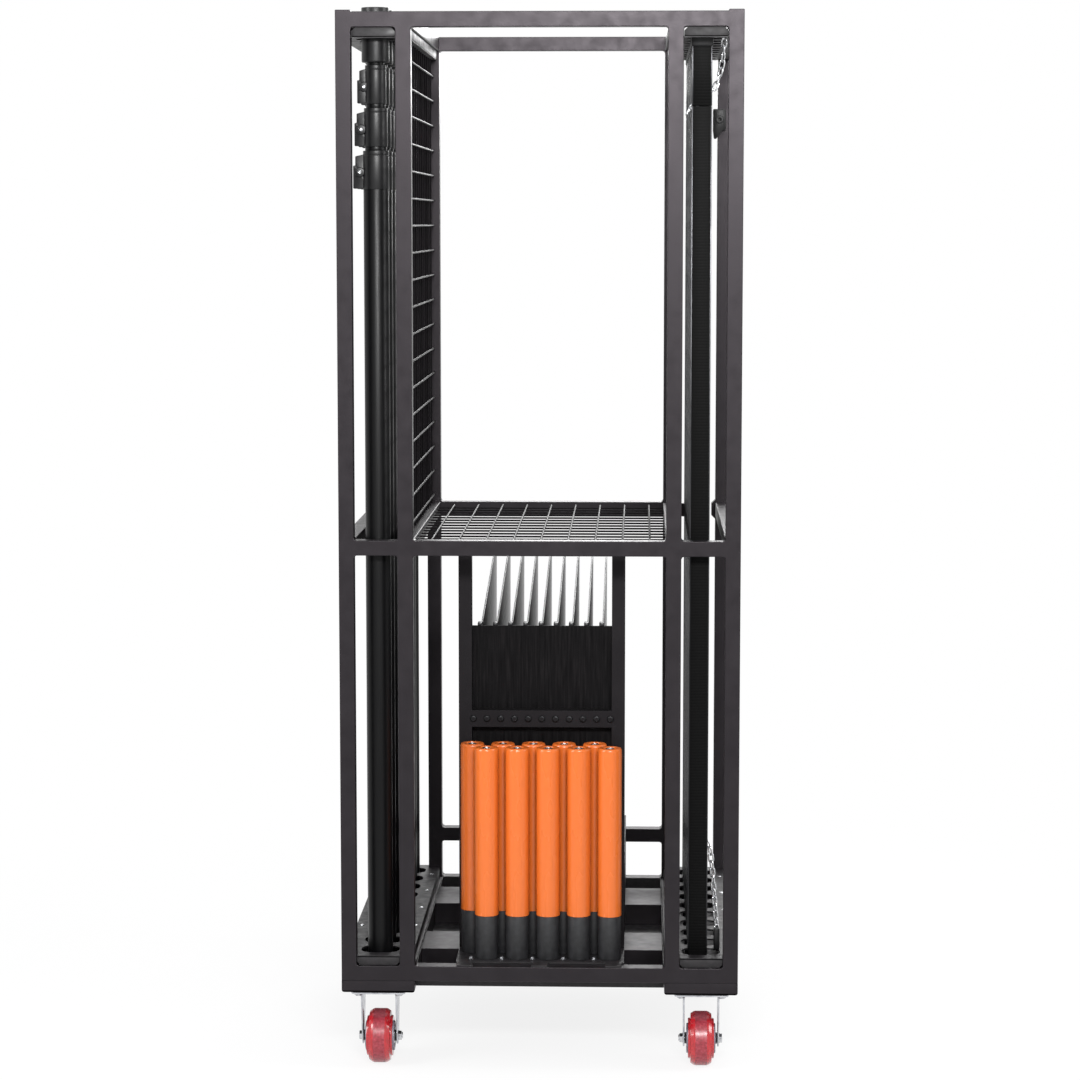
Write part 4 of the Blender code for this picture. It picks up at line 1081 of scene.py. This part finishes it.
def make_chains(steel, nylon):
    """Safety chains of the right bay: one behind the front crossbar at the top, one at its foot."""
    bar_y = middle("front_crossbar").y
    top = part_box("right_upper_slot_plate")[0].z - 0.001
    upper = [(x, bar_y + y, top + z) for x, y, z in UPPER_RUN]
    put("upper_safety_chain", fused(chain(upper, steel)), "cart")
    plate_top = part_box("right_lower_slot_plate")[1].z
    end, low, high = [(x, bar_y + y, plate_top + z) for x, y, z in (LOWER_END, CLIP_LOW, CLIP_HIGH)]
    lower = [(x, bar_y + y, z) for x, y, z in LOWER_RUN] + [end]
    parts = chain(lower, steel) + [(block(low, high, 0.003), nylon)]
    put("lower_safety_chain", fused(parts), "cart")


def make_latch(nylon):
    """The latch inside the rear post: a rounded block, a strike wedge under it and a turned button."""
    low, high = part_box("rear_right_latch_block")
    wedge_z = low.z + LATCH_WEDGE
    face = low.y + LATCH_FACE
    outline = [(low.x, high.z), (low.x, wedge_z), (low.x + 0.002, low.z), (low.x + 0.007, low.z)]
    outline += [(high.x - 0.006, wedge_z), (high.x, wedge_z), (high.x, high.z)]
    body = cut_sheet(eased(outline, 0.003, True, 3), [], face, high.y, "Y", 0.0008)
    spot = ((low.x + high.x) / 2, face, (wedge_z + high.z) / 2)
    parts = [(body, nylon), (pointing_forward(LATCH_BUTTON, spot, 32), nylon)]
    put("rear_right_latch", fused(parts), "cart", stands_for=["rear_right_latch_block"])


def make_plate_rivets(steel):
    """Round rivet heads that fix each slotted plate to its tabs and rails."""
    heads = []
    for side in ("left", "right"):
        low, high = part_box(f"{side}_lower_slot_plate")
        centre = (low.x + high.x) / 2
        for x in (centre - RIVET_OFFSET, centre + RIVET_OFFSET):
            for index in range(0, SLOT_COUNT - 1, 2):
                at = (x, slot_y(index + 0.5), high.z)
                heads.append((shifted(turned(RIVET, 16, 0), at), steel))
    put("slot_plate_rivets", fused(heads), "cart")


def seen_by(tree, first, *others):
    """One for rays of any of these kinds."""
    path = add(tree, "LightPath").outputs
    share = path[first]
    for kind in others:
        share = add(tree, "Math", {0: share, 1: path[kind]}, operation="ADD", use_clamp=True).outputs[0]
    return share


def soft_lamp(name, at, target, size, watts):
    """A large soft lamp aimed at a point."""
    light = bpy.data.lights.new(name, "AREA")
    light.shape = "RECTANGLE"
    light.size, light.size_y = size
    light.energy = watts
    lamp = new_object(name, light)
    lamp.location = at
    lamp.rotation_euler = (Vector(target) - Vector(at)).to_track_quat("-Z", "Y").to_euler()


def make_studio():
    """White floor that fades into a white background, and soft lamps."""
    build = bmesh.new()
    bmesh.ops.create_circle(build, cap_ends=True, radius=FLOOR_RADIUS, segments=96)
    floor = new_object("studio_floor", mesh_of(build))
    material, shader = finish("white_painted_floor", "#e6e6e6", 0.0, 0.8)
    tree = shader.id_data
    spot = add(tree, "TexCoord").outputs["Object"]
    away = add(tree, "VectorMath", {0: spot}, operation="LENGTH").outputs["Value"]
    fade = add(tree, "MapRange", {"Value": away, "From Min": FLOOR_FADE[0], "From Max": FLOOR_FADE[1],
                                  "To Min": FLOOR_GLOW}, clamp=True).outputs["Result"]
    seen = seen_by(tree, "Is Camera Ray", "Is Glossy Ray")
    share = add(tree, "Math", {0: fade, 1: seen}, operation="MULTIPLY").outputs["Value"]
    white = add(tree, "Emission", {"Color": (1, 1, 1, 1), "Strength": 1.0})
    mixed = add(tree, "MixShader", {0: share, 1: shader.outputs["BSDF"], 2: white.outputs["Emission"]})
    tree.links.new(mixed.outputs["Shader"], tree.nodes["Material Output"].inputs["Surface"])
    floor.data.materials.append(material)

    world = bpy.data.worlds.new("white_room")
    bpy.context.scene.world = world
    world.use_nodes = True
    tree = world.node_tree
    lit = tree.nodes["Background"]
    lit.inputs["Color"].default_value = ROOM_TINT
    lit.inputs["Strength"].default_value = ROOM_LIGHT
    shown = add(tree, "Background", {"Color": (1, 1, 1, 1), "Strength": 1.0})
    seen = seen_by(tree, "Is Camera Ray", "Is Transmission Ray", "Is Glossy Ray")
    mixed = add(tree, "MixShader", {0: seen, 1: lit.outputs[0], 2: shown.outputs[0]})
    tree.links.new(mixed.outputs["Shader"], tree.nodes["World Output"].inputs["Surface"])

    for lamp in LAMPS:
        soft_lamp(*lamp)


def make_camera():
    """The photograph's viewpoint: a long lens, slightly right of the middle, at chest height."""
    data = bpy.data.cameras.new("camera")
    data.lens = CAMERA_LENS
    data.clip_end = 100
    camera = new_object("camera", data)
    camera.location = CAMERA_AT
    camera.rotation_euler = (math.radians(90 - CAMERA_TILT), 0, math.radians(CAMERA_TURN))
    bpy.context.scene.camera = camera


def make_everything():
    """The shared materials, then each group of pieces."""
    coat = powder_coat("black_powder_coat", "#100e10", "#151315")
    wire_coat = powder_coat("black_wire_coat", "#0f0e0f", "#141214", 0.46, 0.08)
    rack_coat = powder_coat("matt_rack_coat", "#0e0d0e", "#131213", 0.44, 0.14)
    worn = worn_powder_coat("scuffed_powder_coat", "#191819", "#232123", "#565457")
    tube = black_anodised_tube()
    nylon = moulded_nylon("glass_filled_black_nylon", "#131314")
    zinc = zinc_plate()
    steel = tumbled_steel("tumbled_zinc_fastener", "#c9cacd", 0.26)
    dark_steel = tumbled_steel("oiled_black_screw", "#2a2a2b", 0.36, "#161617")
    chain_steel = tumbled_steel("tumbled_chain_steel", "#d3d4d6", 0.2)
    bush = moulded_nylon("nitrile_bush_and_seal", "#1c1b1c", 0.5)
    dress_steelwork(coat, worn, rack_coat)
    make_slot_plates(worn)
    make_sills(coat)
    make_nets(wire_coat)
    make_uprights(tube, nylon, steel)
    make_crossbars(ribbed_batten(), smoked_aluminium(), nylon, dark_steel)
    make_pins(vinyl_sleeve(), turned_steel_foot(), steel, dark_steel)
    make_casters(zinc, steel, cast_polyurethane(), glossy_polyurethane(), wheel_core(), bush)
    make_rack(rack_coat, worn, stained_ply(), base_plate_coat(), dark_steel)
    make_floor_bolts(tumbled_steel("dull_zinc_nut", "#77787b", 0.4, "#3c3c3e"))
    make_chains(chain_steel, nylon)
    make_plate_rivets(steel)
    make_latch(nylon)


make_everything()
make_studio()
make_camera()
bpy.context.scene.view_settings.view_transform = "Standard"
